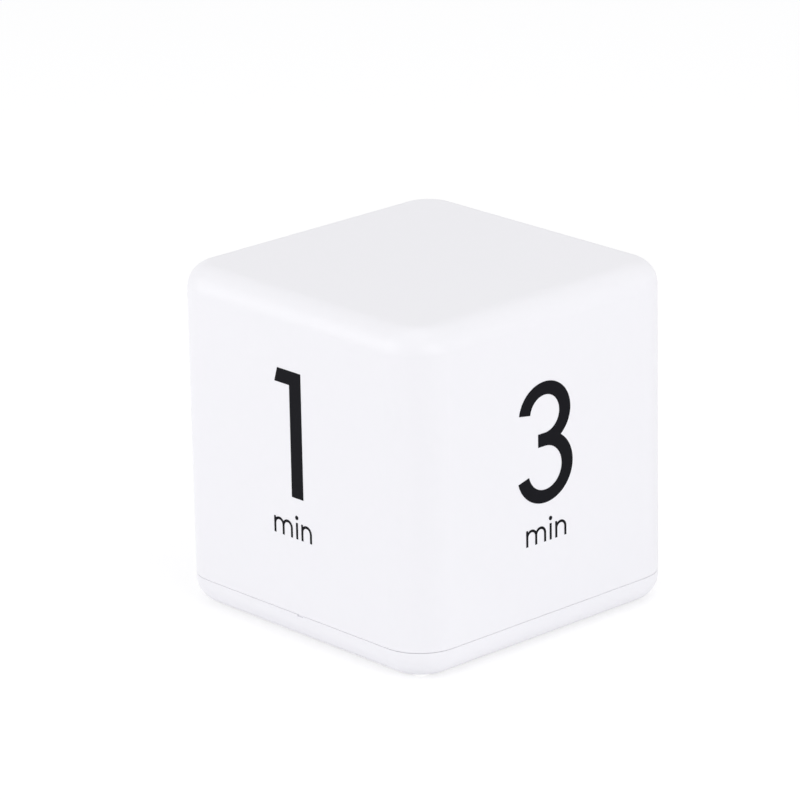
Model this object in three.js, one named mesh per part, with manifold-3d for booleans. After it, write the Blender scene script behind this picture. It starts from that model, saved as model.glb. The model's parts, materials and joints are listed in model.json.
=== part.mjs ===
// Cube timer: a rounded plastic cube that counts down the minutes printed on its upper side.
// Units are millimetres and +Z is up. The origin is the centre of the base, on the table.

import * as THREE from 'three';
import { mergeVertices } from 'three/addons/utils/BufferGeometryUtils.js';
import Module from 'manifold-3d';

const wasm = await Module();
wasm.setup();

// Housing: a five-sided shell over a shallow bottom cover
const cubeSize = 67;
const uprightEdgeRadius = 8.4;
const flatEdgeRadius = 4.75;
const wallThickness = 2.2;
const coverHeight = 5.6;
const coverPlate = 2.4;
const seamGap = 0.1;
const lipThickness = 1;
const tongueRise = 3;
const tongueGap = 0.2;
const pryNotchWidth = 1.6;
const pryNotchHeight = 0.35;
const pryNotchShift = 1.2;

// Clearances
const fitGap = 0.3;
const slideGap = 0.15;
const pilotGap = 0.15;
const cutOverrun = 1;

// Corner screws, the shell's posts and the cover's bosses
const screwShankRadius = 1;
const screwLength = 10;
const screwTip = 1.2;
const screwHeadRadius = 2.1;
const screwHeadHeight = 1.5;
const screwSlotWidth = 0.5;
const screwSlotDepth = 0.8;
const counterboreGap = 0.3;
const counterboreDepth = 2.6;
const counterboreMargin = 0.25;
const postWall = 1.35;
const bossWall = 0.9;
const bossRise = 3.6;
const ribThickness = 1.2;

// Battery bay, cells and contacts
const cellNubRadius = 1.9;
const cellNubLength = 1.1;
const cellEdge = 0.5;
const bayWall = 1.1;
const bayFloorGap = 0.4;
const contactThickness = 0.5;
const contactWidth = 8;
const contactTabWidth = 2.2;
const contactTabRise = 2;
const springWireRadius = 0.3;
const springSpan = 3.8;
const springWideRadius = 4;
const springNarrowRadius = 2.2;
const springCurls = 3;
const springEndGap = 0.1;

// Battery door
const doorThickness = 1.6;
const doorSetIn = 0.3;
const doorLedge = 0.6;
const doorTopGap = 0.1;
const hingeTabWidth = 6;
const hingeTabReach = 1.2;
const hingeTabThickness = 0.7;
const hingeTabSpacing = 30;
const latchWidth = 10;
const latchThickness = 0.8;
const latchRise = 1.8;
const latchGap = 0.7;
const latchNibReach = 0.25;
const latchNibHeight = 0.6;
const thumbScoopRadius = 5;
const thumbScoopReach = 3.5;
const thumbScoopDepth = 1;

// Display: glass stack, frame, conductive strips and outer window
const glassMargin = 2;
const glassThickness = 1.1;
const glassLedge = 1.8;
const reflectorThickness = 0.2;
const stripThickness = 1.4;
const frameWall = 1.2;
const frameGap = 0.2;
const frameHeight = 6;
const frameEdgeGap = 0.25;
const lensRim = 1.3;
const lensThickness = 0.9;
const lensSetIn = 0.3;

// Power switch
const knobLength = 5.6;
const knobDepth = 3;
const knobSetIn = 0.5;
const knobRib = 0.35;
const knobRibCount = 4;
const knobFlangeMargin = 0.5;
const knobFlangeThickness = 0.8;
const knobHubGap = 0.6;
const knobPocketWall = 0.8;
const switchTravel = 2;
const switchRecessDepth = 1;
const switchRecessMargin = 1.1;
const switchBodyLength = 9;
const switchBodyDepth = 3.6;
const switchBodyHeight = 3;
const leverLength = 1.6;
const leverDepth = 1.4;
const leverHidden = 1.2;
const leverTipGap = 0.3;
const guideWall = 0.6;
const guideGap = 0.2;

// Main board and what it carries
const boardThickness = 1.6;
const boardMargin = 0.5;
const boardScrewShankRadius = 0.8;
const boardScrewLength = 5;
const boardScrewTip = 0.8;
const boardScrewHeadRadius = 1.5;
const boardScrewHeadHeight = 1.1;
const boardBossWall = 0.75;
const boardHoleInset = 2.2;
const chipRadius = 3;
const chipHeight = 1.3;
const crystalLength = 8;
const crystalDepth = 3.2;
const crystalHeight = 3;
const capacitorRadius = 2.5;
const capacitorHeight = 6;
const resistorLength = 3.2;
const resistorDepth = 1.6;
const resistorHeight = 0.6;
const partsGap = 0.9;
const padGap = 1;
const padPitch = 2.4;
const padInset = 1.8;

// Ball tilt switches, four in a cross
const canRadius = 2.1;
const canWall = 0.3;
const canLength = 6;
const canBaseThickness = 1.2;
const canCrossGap = 0.4;
const canLift = 0.3;
const ballRadius = 1.4;

// Buzzer under the top wall
const buzzerRadius = 13.5;
const buzzerThickness = 0.3;
const ceramicRadius = 10;
const ceramicThickness = 0.25;
const buzzerSeatRise = 1;
const buzzerSeatWidth = 1.1;
const buzzerRimWidth = 1;
const buzzerRimDrop = 1;
const buzzerJointInset = 1.6;
const ceramicJointInset = 4;

// Leads
const leadRadius = 0.6;
const leadStraight = 1.8;
const batteryLeadRise = 5;

// Printed numerals
const printThickness = 0.05;
const oneHeight = 24.5;
const oneStem = 2.95;
const oneStemRight = 2.75;
const oneFlagReach = 3.2;
const oneFlagHeight = 2.75;
const oneFlagSlant = 0.85;
const threeHeight = 23.5;
const threeWidth = 13.9;
const bowlShift = -1.05;
const numeralStroke = 2.55;
const fiveWidth = 13.6;
const zeroWidth = 15;
const tenSpacing = 2.6;

// Shares of the cube's side, for what is sized or placed to suit the cube
const cellRadiusShare = 0.07836;
const cellLengthShare = 0.6642;
const windowLengthShare = 0.3433;
const windowDepthShare = 0.1343;
const oneBaseShare = 0.4291;
const threeBaseShare = 0.4142;

// Shares of the piece or the way that each belongs to
const screwSlotReachShare = 0.62;
const screwBevelShare = 0.25;
const batteryLeadWayShares = [0.4, 0.8];
const buzzerLeadWayShares = [0.35, 0.7];
const threeWaistShare = 0.524;
const threeUpperWidthShare = 0.927;
const threeBarShare = 0.125;
const fiveBowlShare = 0.62;
const fiveStemTopShare = 0.24;
const fiveStemFootShare = 0.34;
const fiveBarShare = 0.42;

// Where a numeral's open strokes start and end, in degrees anticlockwise from +X
const threeUpperStart = 172;
const threeLowerEnd = -166;
const fiveBowlStart = 138;
const fiveBowlEnd = -158;

// Facets
const cornerSegments = 6;
const filletSegments = 5;
const roundSegments = 24;
const smallSegments = 12;
const leadSides = 8;
const leadSteps = 28;
const springSides = 5;
const springStepsPerCurl = 8;
const strokeSegments = 16;

const quarterTurn = Math.PI / 2;
const halfCube = cubeSize / 2;
const ceilingZ = cubeSize - wallThickness;
const floorFlatHalf = halfCube - flatEdgeRadius;
const shellBottomZ = coverHeight + seamGap;
const tongueTopZ = coverHeight + tongueRise;

const counterboreRadius = screwHeadRadius + counterboreGap;
const postRadius = screwShankRadius + pilotGap + postWall;
const bossRadius = counterboreRadius + bossWall;
const postPlace = floorFlatHalf - counterboreRadius - counterboreMargin;
const bossTopZ = coverPlate + bossRise;
const screwPlaces = [[1, 1], [-1, 1], [-1, -1], [1, -1]];

const cellRadius = cubeSize * cellRadiusShare;
const cellLength = cubeSize * cellLengthShare;
const bayInnerLength = 2 * contactThickness + springSpan + cellLength + fitGap;
const bayInnerDepth = 4 * cellRadius + 3 * fitGap;
const bayHalfLength = bayInnerLength / 2;
const bayFrontY = postRadius + fitGap + bayWall - postPlace;
const bayBackY = bayFrontY + bayInnerDepth;
const doorTopZ = doorSetIn + doorThickness;
const ledgeZ = doorTopZ + doorTopGap;
const cellZ = doorTopZ + bayFloorGap + cellRadius;
const bayRoofZ = cellZ + cellRadius + fitGap;
const bayTopZ = bayRoofZ + bayWall;
const frontCellY = bayFrontY + fitGap + cellRadius;
const backCellY = bayBackY - fitGap - cellRadius;
const cellShift = (springSpan - fitGap) / 2;

const doorFrontY = bayFrontY - doorLedge + fitGap;
const doorBackY = bayBackY + doorLedge - fitGap;
const doorHalfLength = bayHalfLength + doorLedge - fitGap;

const windowLength = cubeSize * windowLengthShare;
const windowDepth = cubeSize * windowDepthShare;
const glassLength = windowLength + 2 * glassMargin;
const glassDepth = windowDepth + 2 * glassMargin;
const boardZ = coverPlate + frameHeight;
const boardTopZ = boardZ + boardThickness;
const frameHalfLength = glassLength / 2 + frameGap + frameWall;
const frameHalfDepth = glassDepth / 2 + frameGap + frameWall;
const frameBackY = floorFlatHalf - frameEdgeGap;
const displayY = frameBackY - frameHalfDepth;
const frameFrontY = displayY - frameHalfDepth;
const lensTopZ = lensSetIn + lensThickness;
const lensLength = windowLength + 2 * lensRim;
const lensDepth = windowDepth + 2 * lensRim;

const knobFlangeDepth = knobDepth + 2 * knobFlangeMargin;
const knobFlangeLength = knobLength + 2 * (knobFlangeMargin + switchTravel);
const slideWayLength = Math.max(knobFlangeLength + switchTravel, switchBodyLength) + 2 * fitGap;
const slideWayDepth = Math.max(knobFlangeDepth, switchBodyDepth) + 2 * fitGap;
const switchY = frameFrontY - slideWayDepth / 2;
const guideFrontY = switchY - slideWayDepth / 2 - guideWall;
const switchBodyZ = boardZ - switchBodyHeight;
const knobRestX = -switchTravel / 2;

const boardBossRadius = boardScrewShankRadius + pilotGap + boardBossWall;
const boardHalfLength = frameHalfLength + fitGap + 2 * boardBossRadius + boardMargin;
const boardHoleX = frameHalfLength + fitGap + boardBossRadius;
const boardBackY = frameBackY + boardMargin;
const boardFrontY = guideFrontY;
const boardMidY = (boardFrontY + boardBackY) / 2;
const padY = boardFrontY + padInset;
const outerPadX = boardHoleX - boardScrewHeadRadius - padGap - leadRadius;
const innerPadX = outerPadX - padPitch;

const whitePlastic = new THREE.MeshStandardMaterial({ color: 0xf1f0f5, roughness: 0.42, metalness: 0 });
const printInk = new THREE.MeshStandardMaterial({ color: 0x1b1b20, roughness: 0.5, metalness: 0 });
const knobPlastic = new THREE.MeshStandardMaterial({ color: 0x2a2a2e, roughness: 0.45, metalness: 0 });
const clearPlastic = new THREE.MeshStandardMaterial({ color: 0xcfd6d8, roughness: 0.06, metalness: 0 });
const glass = new THREE.MeshStandardMaterial({ color: 0xb9c4b4, roughness: 0.05, metalness: 0 });
const reflectorFilm = new THREE.MeshStandardMaterial({ color: 0xa9b5a2, roughness: 0.5, metalness: 0.2 });
const rubber = new THREE.MeshStandardMaterial({ color: 0x3b3b3d, roughness: 0.85, metalness: 0 });
const boardGreen = new THREE.MeshStandardMaterial({ color: 0x1f6b3a, roughness: 0.5, metalness: 0 });
const steel = new THREE.MeshStandardMaterial({ color: 0xb9bcc0, roughness: 0.3, metalness: 1 });
const brass = new THREE.MeshStandardMaterial({ color: 0xc8a24a, roughness: 0.35, metalness: 1 });
const ceramic = new THREE.MeshStandardMaterial({ color: 0xd9d6cf, roughness: 0.4, metalness: 0 });
const epoxy = new THREE.MeshStandardMaterial({ color: 0x111113, roughness: 0.25, metalness: 0 });
const capacitorSleeve = new THREE.MeshStandardMaterial({ color: 0x22304a, roughness: 0.4, metalness: 0 });
const cellSleeve = new THREE.MeshStandardMaterial({ color: 0x3f7f5c, roughness: 0.35, metalness: 0.2 });
const redSheath = new THREE.MeshStandardMaterial({ color: 0xb3211f, roughness: 0.5, metalness: 0 });
const blackSheath = new THREE.MeshStandardMaterial({ color: 0x17171a, roughness: 0.5, metalness: 0 });

// A closed three.js geometry as a solid that can be joined and cut
function toSolid(geometry) {
  const bare = geometry.clone();
  bare.deleteAttribute('normal');
  bare.deleteAttribute('uv');
  const merged = mergeVertices(bare);
  return new wasm.Manifold(new wasm.Mesh({
    numProp: 3,
    vertProperties: new Float32Array(merged.attributes.position.array),
    triVerts: new Uint32Array(merged.index.array),
  }));
}

function toGeometry(solid) {
  const mesh = solid.getMesh();
  const geometry = new THREE.BufferGeometry();
  geometry.setAttribute('position', new THREE.BufferAttribute(new Float32Array(mesh.vertProperties), 3));
  geometry.setIndex(new THREE.BufferAttribute(new Uint32Array(mesh.triVerts), 1));
  geometry.computeVertexNormals();
  return geometry;
}

function joinAll(solids) {
  return solids.reduce((whole, solid) => whole.add(solid));
}

function boxBetween(x0, x1, y0, y1, z0, z1) {
  const box = new THREE.BoxGeometry(x1 - x0, y1 - y0, z1 - z0);
  box.translate((x0 + x1) / 2, (y0 + y1) / 2, (z0 + z1) / 2);
  return toSolid(box);
}

function uprightRound(radius, x, y, z0, z1, segments = roundSegments) {
  const round = new THREE.CylinderGeometry(radius, radius, z1 - z0, segments);
  round.rotateX(quarterTurn);
  round.translate(x, y, (z0 + z1) / 2);
  return toSolid(round);
}

// Rings of equally many points, joined in order and closed at both ends
function loftRings(rings) {
  const count = rings[0].length;
  const triangles = [];
  for (let ring = 0; ring + 1 < rings.length; ring++) {
    for (let i = 0; i < count; i++) {
      const a = ring * count + i;
      const b = ring * count + (i + 1) % count;
      triangles.push(a, b, b + count, a, b + count, a + count);
    }
  }
  const last = (rings.length - 1) * count;
  for (let i = 1; i + 1 < count; i++) {
    triangles.push(0, i + 1, i, last, last + i, last + i + 1);
  }
  const geometry = new THREE.BufferGeometry().setFromPoints(rings.flat());
  geometry.setIndex(triangles);
  return geometry;
}

function roundedSquareRing(half, cornerRadius, z) {
  const ring = [];
  const centre = half - cornerRadius;
  for (let corner = 0; corner < 4; corner++) {
    const signX = Math.sign(Math.cos((corner + 0.5) * quarterTurn));
    const signY = Math.sign(Math.sin((corner + 0.5) * quarterTurn));
    for (let step = 0; step <= cornerSegments; step++) {
      const angle = (corner + step / cornerSegments) * quarterTurn;
      ring.push(new THREE.Vector3(
        signX * centre + cornerRadius * Math.cos(angle),
        signY * centre + cornerRadius * Math.sin(angle),
        z,
      ));
    }
  }
  return ring;
}

// The cube's own form, drawn in by an even inset on every side and cut flat where asked
function roundedBlock(inset, bottomZ, topZ) {
  const half = halfCube - inset;
  const cornerRadius = uprightEdgeRadius - inset;
  const edgeRadius = flatEdgeRadius - inset;
  const rings = [];
  for (const [z, way] of [[bottomZ, 1], [topZ, -1]]) {
    const fillet = [];
    for (let step = 0; step <= filletSegments; step++) {
      const angle = (step / filletSegments) * quarterTurn;
      const drawnIn = edgeRadius * (1 - Math.sin(angle));
      const height = z + way * edgeRadius * (1 - Math.cos(angle));
      fillet.push(roundedSquareRing(half - drawnIn, cornerRadius - drawnIn, height));
    }
    rings.push(...(way > 0 ? fillet : fillet.reverse()));
  }
  return toSolid(loftRings(rings));
}

function outerBlock() {
  return roundedBlock(0, 0, cubeSize);
}

function innerBlock() {
  return roundedBlock(wallThickness, coverPlate, ceilingZ);
}

// An even-walled upright tube of the cube's outline between two heights
function wallBand(outerInset, innerInset, z0, z1) {
  const outer = roundedSquareRing(halfCube - outerInset, uprightEdgeRadius - outerInset, 0);
  const inner = roundedSquareRing(halfCube - innerInset, uprightEdgeRadius - innerInset, 0);
  const shape = new THREE.Shape(outer.map((p) => new THREE.Vector2(p.x, p.y)));
  shape.holes.push(new THREE.Path(inner.map((p) => new THREE.Vector2(p.x, p.y))));
  const band = new THREE.ExtrudeGeometry(shape, { depth: z1 - z0, bevelEnabled: false });
  band.translate(0, 0, z0);
  return toSolid(band);
}

function addPiece(parent, name, geometry, material) {
  const mesh = new THREE.Mesh(geometry, material);
  mesh.name = name;
  parent.add(mesh);
  return mesh;
}

// Main shell: four sides and the top, with screw posts, corner ribs and the buzzer's seat
function makeMainShell() {
  const wholeWidth = halfCube + cutOverrun;
  const below = boxBetween(-wholeWidth, wholeWidth, -wholeWidth, wholeWidth, -cutOverrun, shellBottomZ);
  const rebate = wallBand(
    lipThickness, wallThickness + cutOverrun,
    shellBottomZ - cutOverrun, tongueTopZ + fitGap,
  );
  let shell = outerBlock().subtract(innerBlock()).subtract(below).subtract(rebate);

  const postBottomZ = bossTopZ + fitGap;
  const wallMiddle = wallThickness / 2;
  const ribBottomZ = Math.max(tongueTopZ + 2 * fitGap, postBottomZ);
  const cornerCentre = halfCube - uprightEdgeRadius;
  const ribLength = uprightEdgeRadius - wallMiddle - (postPlace - cornerCentre) * Math.SQRT2;
  const withinWall = roundedBlock(wallMiddle, wallMiddle, cubeSize - wallMiddle);
  for (const [signX, signY] of screwPlaces) {
    const x = signX * postPlace;
    const y = signY * postPlace;
    const post = uprightRound(postRadius, x, y, postBottomZ, ceilingZ + wallMiddle, smallSegments);
    const ribBox = new THREE.BoxGeometry(ribLength, ribThickness, ceilingZ + wallMiddle - ribBottomZ);
    ribBox.translate(ribLength / 2, 0, (ceilingZ + wallMiddle + ribBottomZ) / 2);
    ribBox.rotateZ(Math.atan2(signY, signX));
    ribBox.translate(x, y, 0);
    shell = shell.add(post.add(toSolid(ribBox)).intersect(withinWall));
  }
  const holeTopZ = counterboreDepth + screwLength + cutOverrun;
  for (const [signX, signY] of screwPlaces) {
    const pilot = screwShankRadius + pilotGap;
    const x = signX * postPlace;
    const y = signY * postPlace;
    shell = shell.subtract(uprightRound(pilot, x, y, postBottomZ - cutOverrun, holeTopZ, smallSegments));
  }
  return toGeometry(shell.add(makeBuzzerSeat()));
}

// A ring that steps in at the disc's edge: the upper part carries it, the lower part surrounds it
function makeBuzzerSeat() {
  const seatZ = ceilingZ - buzzerSeatRise;
  const rimInner = buzzerRadius + fitGap;
  const rootZ = ceilingZ + wallThickness / 2;
  const outer = uprightRound(rimInner + buzzerRimWidth, 0, 0, seatZ - buzzerRimDrop, rootZ);
  const seatHole = uprightRound(buzzerRadius - buzzerSeatWidth, 0, 0, seatZ - cutOverrun, ceilingZ);
  const rimHole = uprightRound(rimInner, 0, 0, seatZ - buzzerRimDrop - cutOverrun, seatZ);
  return outer.subtract(seatHole).subtract(rimHole);
}

// Bottom cover: plate, low sides and tongue, with the battery bay, display window and switch slot
function makeBottomCover() {
  const wholeWidth = halfCube + cutOverrun;
  const topZ = cubeSize + cutOverrun;
  const above = boxBetween(-wholeWidth, wholeWidth, -wholeWidth, wholeWidth, coverHeight, topZ);
  const dish = outerBlock().subtract(innerBlock()).subtract(above);
  const tongue = wallBand(lipThickness + tongueGap, wallThickness, coverHeight - fitGap, tongueTopZ);
  const bay = boxBetween(
    -bayHalfLength - bayWall, bayHalfLength + bayWall,
    bayFrontY - bayWall, bayBackY + bayWall,
    coverPlate / 2, bayTopZ,
  );
  const bosses = screwPlaces.map(([signX, signY]) => (
    uprightRound(bossRadius, signX * postPlace, signY * postPlace, coverPlate / 2, bossTopZ)
  ));
  const boardBosses = boardHolePlaces().map(([x, y]) => (
    uprightRound(boardBossRadius, x, y, coverPlate / 2, boardZ, smallSegments)
  ));
  const cuts = [
    ...cutBatteryBay(),
    ...cutDisplayWindow(),
    ...cutSwitchSlot(),
    ...cutScrewHoles(),
    cutPryNotch(),
  ];
  const cover = joinAll([dish, tongue, bay, makeSwitchGuide(), ...bosses, ...boardBosses]);
  return toGeometry(cuts.reduce((solid, cut) => solid.subtract(cut), cover));
}

// Three walls that guide the knob's flange; the display's frame is the fourth side
function makeSwitchGuide() {
  const half = slideWayLength / 2;
  const outer = boxBetween(
    -half - guideWall, half + guideWall,
    guideFrontY, frameFrontY - guideGap,
    coverPlate / 2, boardZ - guideGap,
  );
  const inner = boxBetween(
    -half, half,
    guideFrontY + guideWall, frameFrontY,
    coverPlate, boardZ,
  );
  return outer.subtract(inner);
}

function boardHolePlaces() {
  const front = boardFrontY + boardHoleInset;
  const back = boardBackY - boardHoleInset;
  return [[boardHoleX, front], [boardHoleX, back], [-boardHoleX, back], [-boardHoleX, front]];
}

// The bay itself, the door's opening, its two hinge slots, the contacts' slots and the thumb scoop
function cutBatteryBay() {
  const inside = boxBetween(-bayHalfLength, bayHalfLength, bayFrontY, bayBackY, -cutOverrun, bayRoofZ);
  const openingHalf = bayHalfLength + doorLedge;
  const opening = boxBetween(
    -openingHalf, openingHalf,
    bayFrontY - doorLedge, bayBackY + doorLedge,
    -cutOverrun, ledgeZ,
  );
  const tabSwing = Math.hypot(hingeTabReach, doorThickness);
  const hingeSlots = [-1, 1].map((side) => {
    const x = side * hingeTabSpacing / 2;
    const half = hingeTabWidth / 2 + fitGap;
    return boxBetween(
      x - half, x + half,
      bayBackY - cutOverrun, doorBackY + hingeTabReach + fitGap,
      doorTopZ - hingeTabThickness - slideGap, doorSetIn + tabSwing + fitGap,
    );
  });
  const tabSlots = [frontCellY, backCellY].map((y) => {
    const half = contactTabWidth / 2 + fitGap;
    return boxBetween(
      bayHalfLength - contactThickness - fitGap, bayHalfLength,
      y - half, y + half,
      bayRoofZ - cutOverrun, bayTopZ + cutOverrun,
    );
  });
  const scoop = uprightRound(
    thumbScoopRadius,
    0, bayFrontY - doorLedge - thumbScoopReach + thumbScoopRadius,
    -cutOverrun, thumbScoopDepth,
  );
  return [inside, opening, ...hingeSlots, ...tabSlots, scoop];
}

function cutDisplayWindow() {
  const through = boxBetween(
    -windowLength / 2, windowLength / 2,
    displayY - windowDepth / 2, displayY + windowDepth / 2,
    -cutOverrun, coverPlate + cutOverrun,
  );
  const lensSeat = boxBetween(
    -lensLength / 2 - frameGap, lensLength / 2 + frameGap,
    displayY - lensDepth / 2 - frameGap, displayY + lensDepth / 2 + frameGap,
    -cutOverrun, lensTopZ,
  );
  return [through, lensSeat];
}

function cutSwitchSlot() {
  const slotHalf = (knobLength + switchTravel) / 2 + fitGap;
  const depthHalf = knobDepth / 2 + slideGap;
  const slot = boxBetween(
    -slotHalf, slotHalf,
    switchY - depthHalf, switchY + depthHalf,
    -cutOverrun, coverPlate + cutOverrun,
  );
  const recessHalf = slotHalf + switchRecessMargin;
  const recessDepthHalf = depthHalf + switchRecessMargin / 2;
  const recess = boxBetween(
    -recessHalf, recessHalf,
    switchY - recessDepthHalf, switchY + recessDepthHalf,
    -cutOverrun, switchRecessDepth,
  );
  return [slot, recess];
}

function cutScrewHoles() {
  const cuts = [];
  for (const [signX, signY] of screwPlaces) {
    const x = signX * postPlace;
    const y = signY * postPlace;
    const clearance = screwShankRadius + fitGap;
    cuts.push(uprightRound(counterboreRadius, x, y, -cutOverrun, counterboreDepth));
    cuts.push(uprightRound(clearance, x, y, -cutOverrun, bossTopZ + cutOverrun, smallSegments));
  }
  for (const [x, y] of boardHolePlaces()) {
    const pilot = boardScrewShankRadius + pilotGap;
    cuts.push(uprightRound(pilot, x, y, boardTopZ - boardScrewLength - fitGap, boardTopZ, smallSegments));
  }
  return cuts;
}

// A small notch near the middle of the front edge, where a blade starts to lift the cover
function cutPryNotch() {
  return boxBetween(
    pryNotchShift - pryNotchWidth / 2, pryNotchShift + pryNotchWidth / 2,
    -halfCube - cutOverrun, -halfCube + lipThickness,
    coverHeight - pryNotchHeight, coverHeight + cutOverrun,
  );
}

// Battery door: a plate with two hinge tabs at its back edge and a springy latch at its front
function makeBatteryDoor() {
  const plate = boxBetween(-doorHalfLength, doorHalfLength, doorFrontY, doorBackY, doorSetIn, doorTopZ);
  const tabs = [-1, 1].map((side) => boxBetween(
    side * hingeTabSpacing / 2 - hingeTabWidth / 2, side * hingeTabSpacing / 2 + hingeTabWidth / 2,
    doorBackY - hingeTabReach, doorBackY + hingeTabReach,
    doorTopZ - hingeTabThickness, doorTopZ,
  ));
  const latchY = bayFrontY + latchGap;
  const arm = boxBetween(
    -latchWidth / 2, latchWidth / 2,
    latchY, latchY + latchThickness,
    doorTopZ - hingeTabThickness, doorTopZ + latchRise,
  );
  const nib = boxBetween(
    -latchWidth / 2, latchWidth / 2,
    latchY - latchNibReach, latchY + latchThickness,
    doorTopZ + latchRise - latchNibHeight, doorTopZ + latchRise,
  );
  return toGeometry(joinAll([plate, ...tabs, arm, nib]));
}

// A screw on +Z with its head's underside at z = 0, its tip below and a cross slot on top
function makeScrew(shankRadius, length, tip, headRadius, headHeight, slotDepth) {
  const profile = [
    new THREE.Vector2(0, -length),
    new THREE.Vector2(shankRadius, tip - length),
    new THREE.Vector2(shankRadius, 0),
    new THREE.Vector2(headRadius, 0),
    new THREE.Vector2(headRadius, headHeight * (1 - screwBevelShare)),
    new THREE.Vector2(headRadius - headHeight * screwBevelShare, headHeight),
    new THREE.Vector2(0, headHeight),
  ];
  const lathe = new THREE.LatheGeometry(profile, smallSegments);
  lathe.rotateX(quarterTurn);
  const reach = headRadius * screwSlotReachShare;
  const half = screwSlotWidth / 2;
  const slotFloor = headHeight - slotDepth;
  const slotTop = headHeight + cutOverrun;
  const slotX = boxBetween(-reach, reach, -half, half, slotFloor, slotTop);
  const slotY = boxBetween(-half, half, -reach, reach, slotFloor, slotTop);
  return toGeometry(toSolid(lathe).subtract(slotX.add(slotY)));
}

function addCoverScrews(parent) {
  const geometry = makeScrew(
    screwShankRadius, screwLength, screwTip,
    screwHeadRadius, screwHeadHeight, screwSlotDepth,
  );
  screwPlaces.forEach(([signX, signY], index) => {
    const screw = addPiece(parent, `cover_screw_${index + 1}`, geometry, steel);
    screw.position.set(signX * postPlace, signY * postPlace, counterboreDepth);
    screw.rotation.x = Math.PI;
  });
}

// A dry cell on +X: sleeve, rounded shoulders and the contact nub at its +X end
function makeCell() {
  const half = cellLength / 2;
  const profile = [
    new THREE.Vector2(0, -half),
    new THREE.Vector2(cellRadius - cellEdge, -half),
    new THREE.Vector2(cellRadius, cellEdge - half),
    new THREE.Vector2(cellRadius, half - cellNubLength - cellEdge),
    new THREE.Vector2(cellRadius - cellEdge, half - cellNubLength),
    new THREE.Vector2(cellNubRadius, half - cellNubLength),
    new THREE.Vector2(cellNubRadius, half),
    new THREE.Vector2(0, half),
  ];
  const cell = new THREE.LatheGeometry(profile, roundSegments);
  cell.rotateZ(-quarterTurn);
  return cell;
}

// A contact plate in the YZ plane, with an optional solder tab that rises through the bay's roof
function makeContactPlate(width, tabRise) {
  const foot = doorTopZ + bayFloorGap;
  const top = bayRoofZ - fitGap;
  const half = width / 2;
  const tabHalf = contactTabWidth / 2;
  const outline = [[-half, foot], [half, foot], [half, top]];
  if (tabRise > 0) {
    const tabTop = bayTopZ + tabRise;
    outline.push([tabHalf, top], [tabHalf, tabTop], [-tabHalf, tabTop], [-tabHalf, top]);
  }
  outline.push([-half, top]);
  const shape = new THREE.Shape(outline.map(([y, z]) => new THREE.Vector2(y, z)));
  const plate = new THREE.ExtrudeGeometry(shape, { depth: contactThickness, bevelEnabled: false });
  plate.rotateX(quarterTurn);
  plate.rotateZ(quarterTurn);
  return plate;
}

// A cone of wire on +X that narrows towards the cell, wound as one unbroken tube
function makeContactSpring() {
  const steps = springCurls * springStepsPerCurl;
  const startX = springEndGap + springWireRadius;
  const run = springSpan - 2 * startX;
  const centres = [];
  const rings = [];
  for (let step = 0; step <= steps; step++) {
    const share = step / steps;
    const angle = share * springCurls * 2 * Math.PI;
    const radius = springWideRadius + (springNarrowRadius - springWideRadius) * share;
    const outward = new THREE.Vector3(0, Math.cos(angle), Math.sin(angle));
    const centre = outward.clone().multiplyScalar(radius).setX(startX + run * share);
    centres.push(centre);
    rings.push(wireRing(centre, outward));
  }
  reportLeastGap(centres);
  return loftRings(rings);
}

function wireRing(centre, outward) {
  const ring = [];
  for (let side = 0; side < springSides; side++) {
    const angle = (side / springSides) * 2 * Math.PI;
    const point = outward.clone().multiplyScalar(springWireRadius * Math.cos(angle));
    point.x -= springWireRadius * Math.sin(angle);
    ring.push(point.add(centre));
  }
  return ring;
}

function reportLeastGap(centres) {
  let least = Infinity;
  for (let i = 0; i < centres.length; i++) {
    for (let j = i + springStepsPerCurl / 2; j < centres.length; j++) {
      least = Math.min(least, centres[i].distanceTo(centres[j]) - 2 * springWireRadius);
    }
  }
  console.log(`Least gap between a contact spring's curls: ${least.toFixed(2)} mm`);
}

function addBattery(parent) {
  const cell = makeCell();
  const front = addPiece(parent, 'battery_cell_1', cell, cellSleeve);
  front.position.set(cellShift, frontCellY, cellZ);
  const back = addPiece(parent, 'battery_cell_2', cell, cellSleeve);
  back.position.set(-cellShift, backCellY, cellZ);
  back.rotation.z = Math.PI;

  const tabbed = makeContactPlate(contactWidth, contactTabRise);
  const positive = addPiece(parent, 'contact_positive', tabbed, steel);
  positive.position.set(bayHalfLength - contactThickness, frontCellY, 0);
  const negative = addPiece(parent, 'contact_negative', tabbed, steel);
  negative.position.set(bayHalfLength - contactThickness, backCellY, 0);
  const bridgeWidth = backCellY - frontCellY + contactWidth;
  const bridge = addPiece(parent, 'contact_bridge', makeContactPlate(bridgeWidth, 0), steel);
  bridge.position.set(-bayHalfLength, (frontCellY + backCellY) / 2, 0);

  const spring = makeContactSpring();
  const plateFace = bayHalfLength - contactThickness;
  const bridgeSpring = addPiece(parent, 'spring_bridge', spring, steel);
  bridgeSpring.position.set(-plateFace, frontCellY, cellZ);
  const negativeSpring = addPiece(parent, 'spring_negative', spring, steel);
  negativeSpring.position.set(plateFace, backCellY, cellZ);
  negativeSpring.rotation.z = Math.PI;
}

function makeDisplayFrame() {
  const innerHalfLength = glassLength / 2 + frameGap;
  const innerHalfDepth = glassDepth / 2 + frameGap;
  const outer = boxBetween(
    -frameHalfLength, frameHalfLength,
    -frameHalfDepth, frameHalfDepth,
    0, frameHeight,
  );
  const inner = boxBetween(
    -innerHalfLength, innerHalfLength,
    -innerHalfDepth, innerHalfDepth,
    -cutOverrun, frameHeight + cutOverrun,
  );
  return toGeometry(outer.subtract(inner));
}

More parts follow.
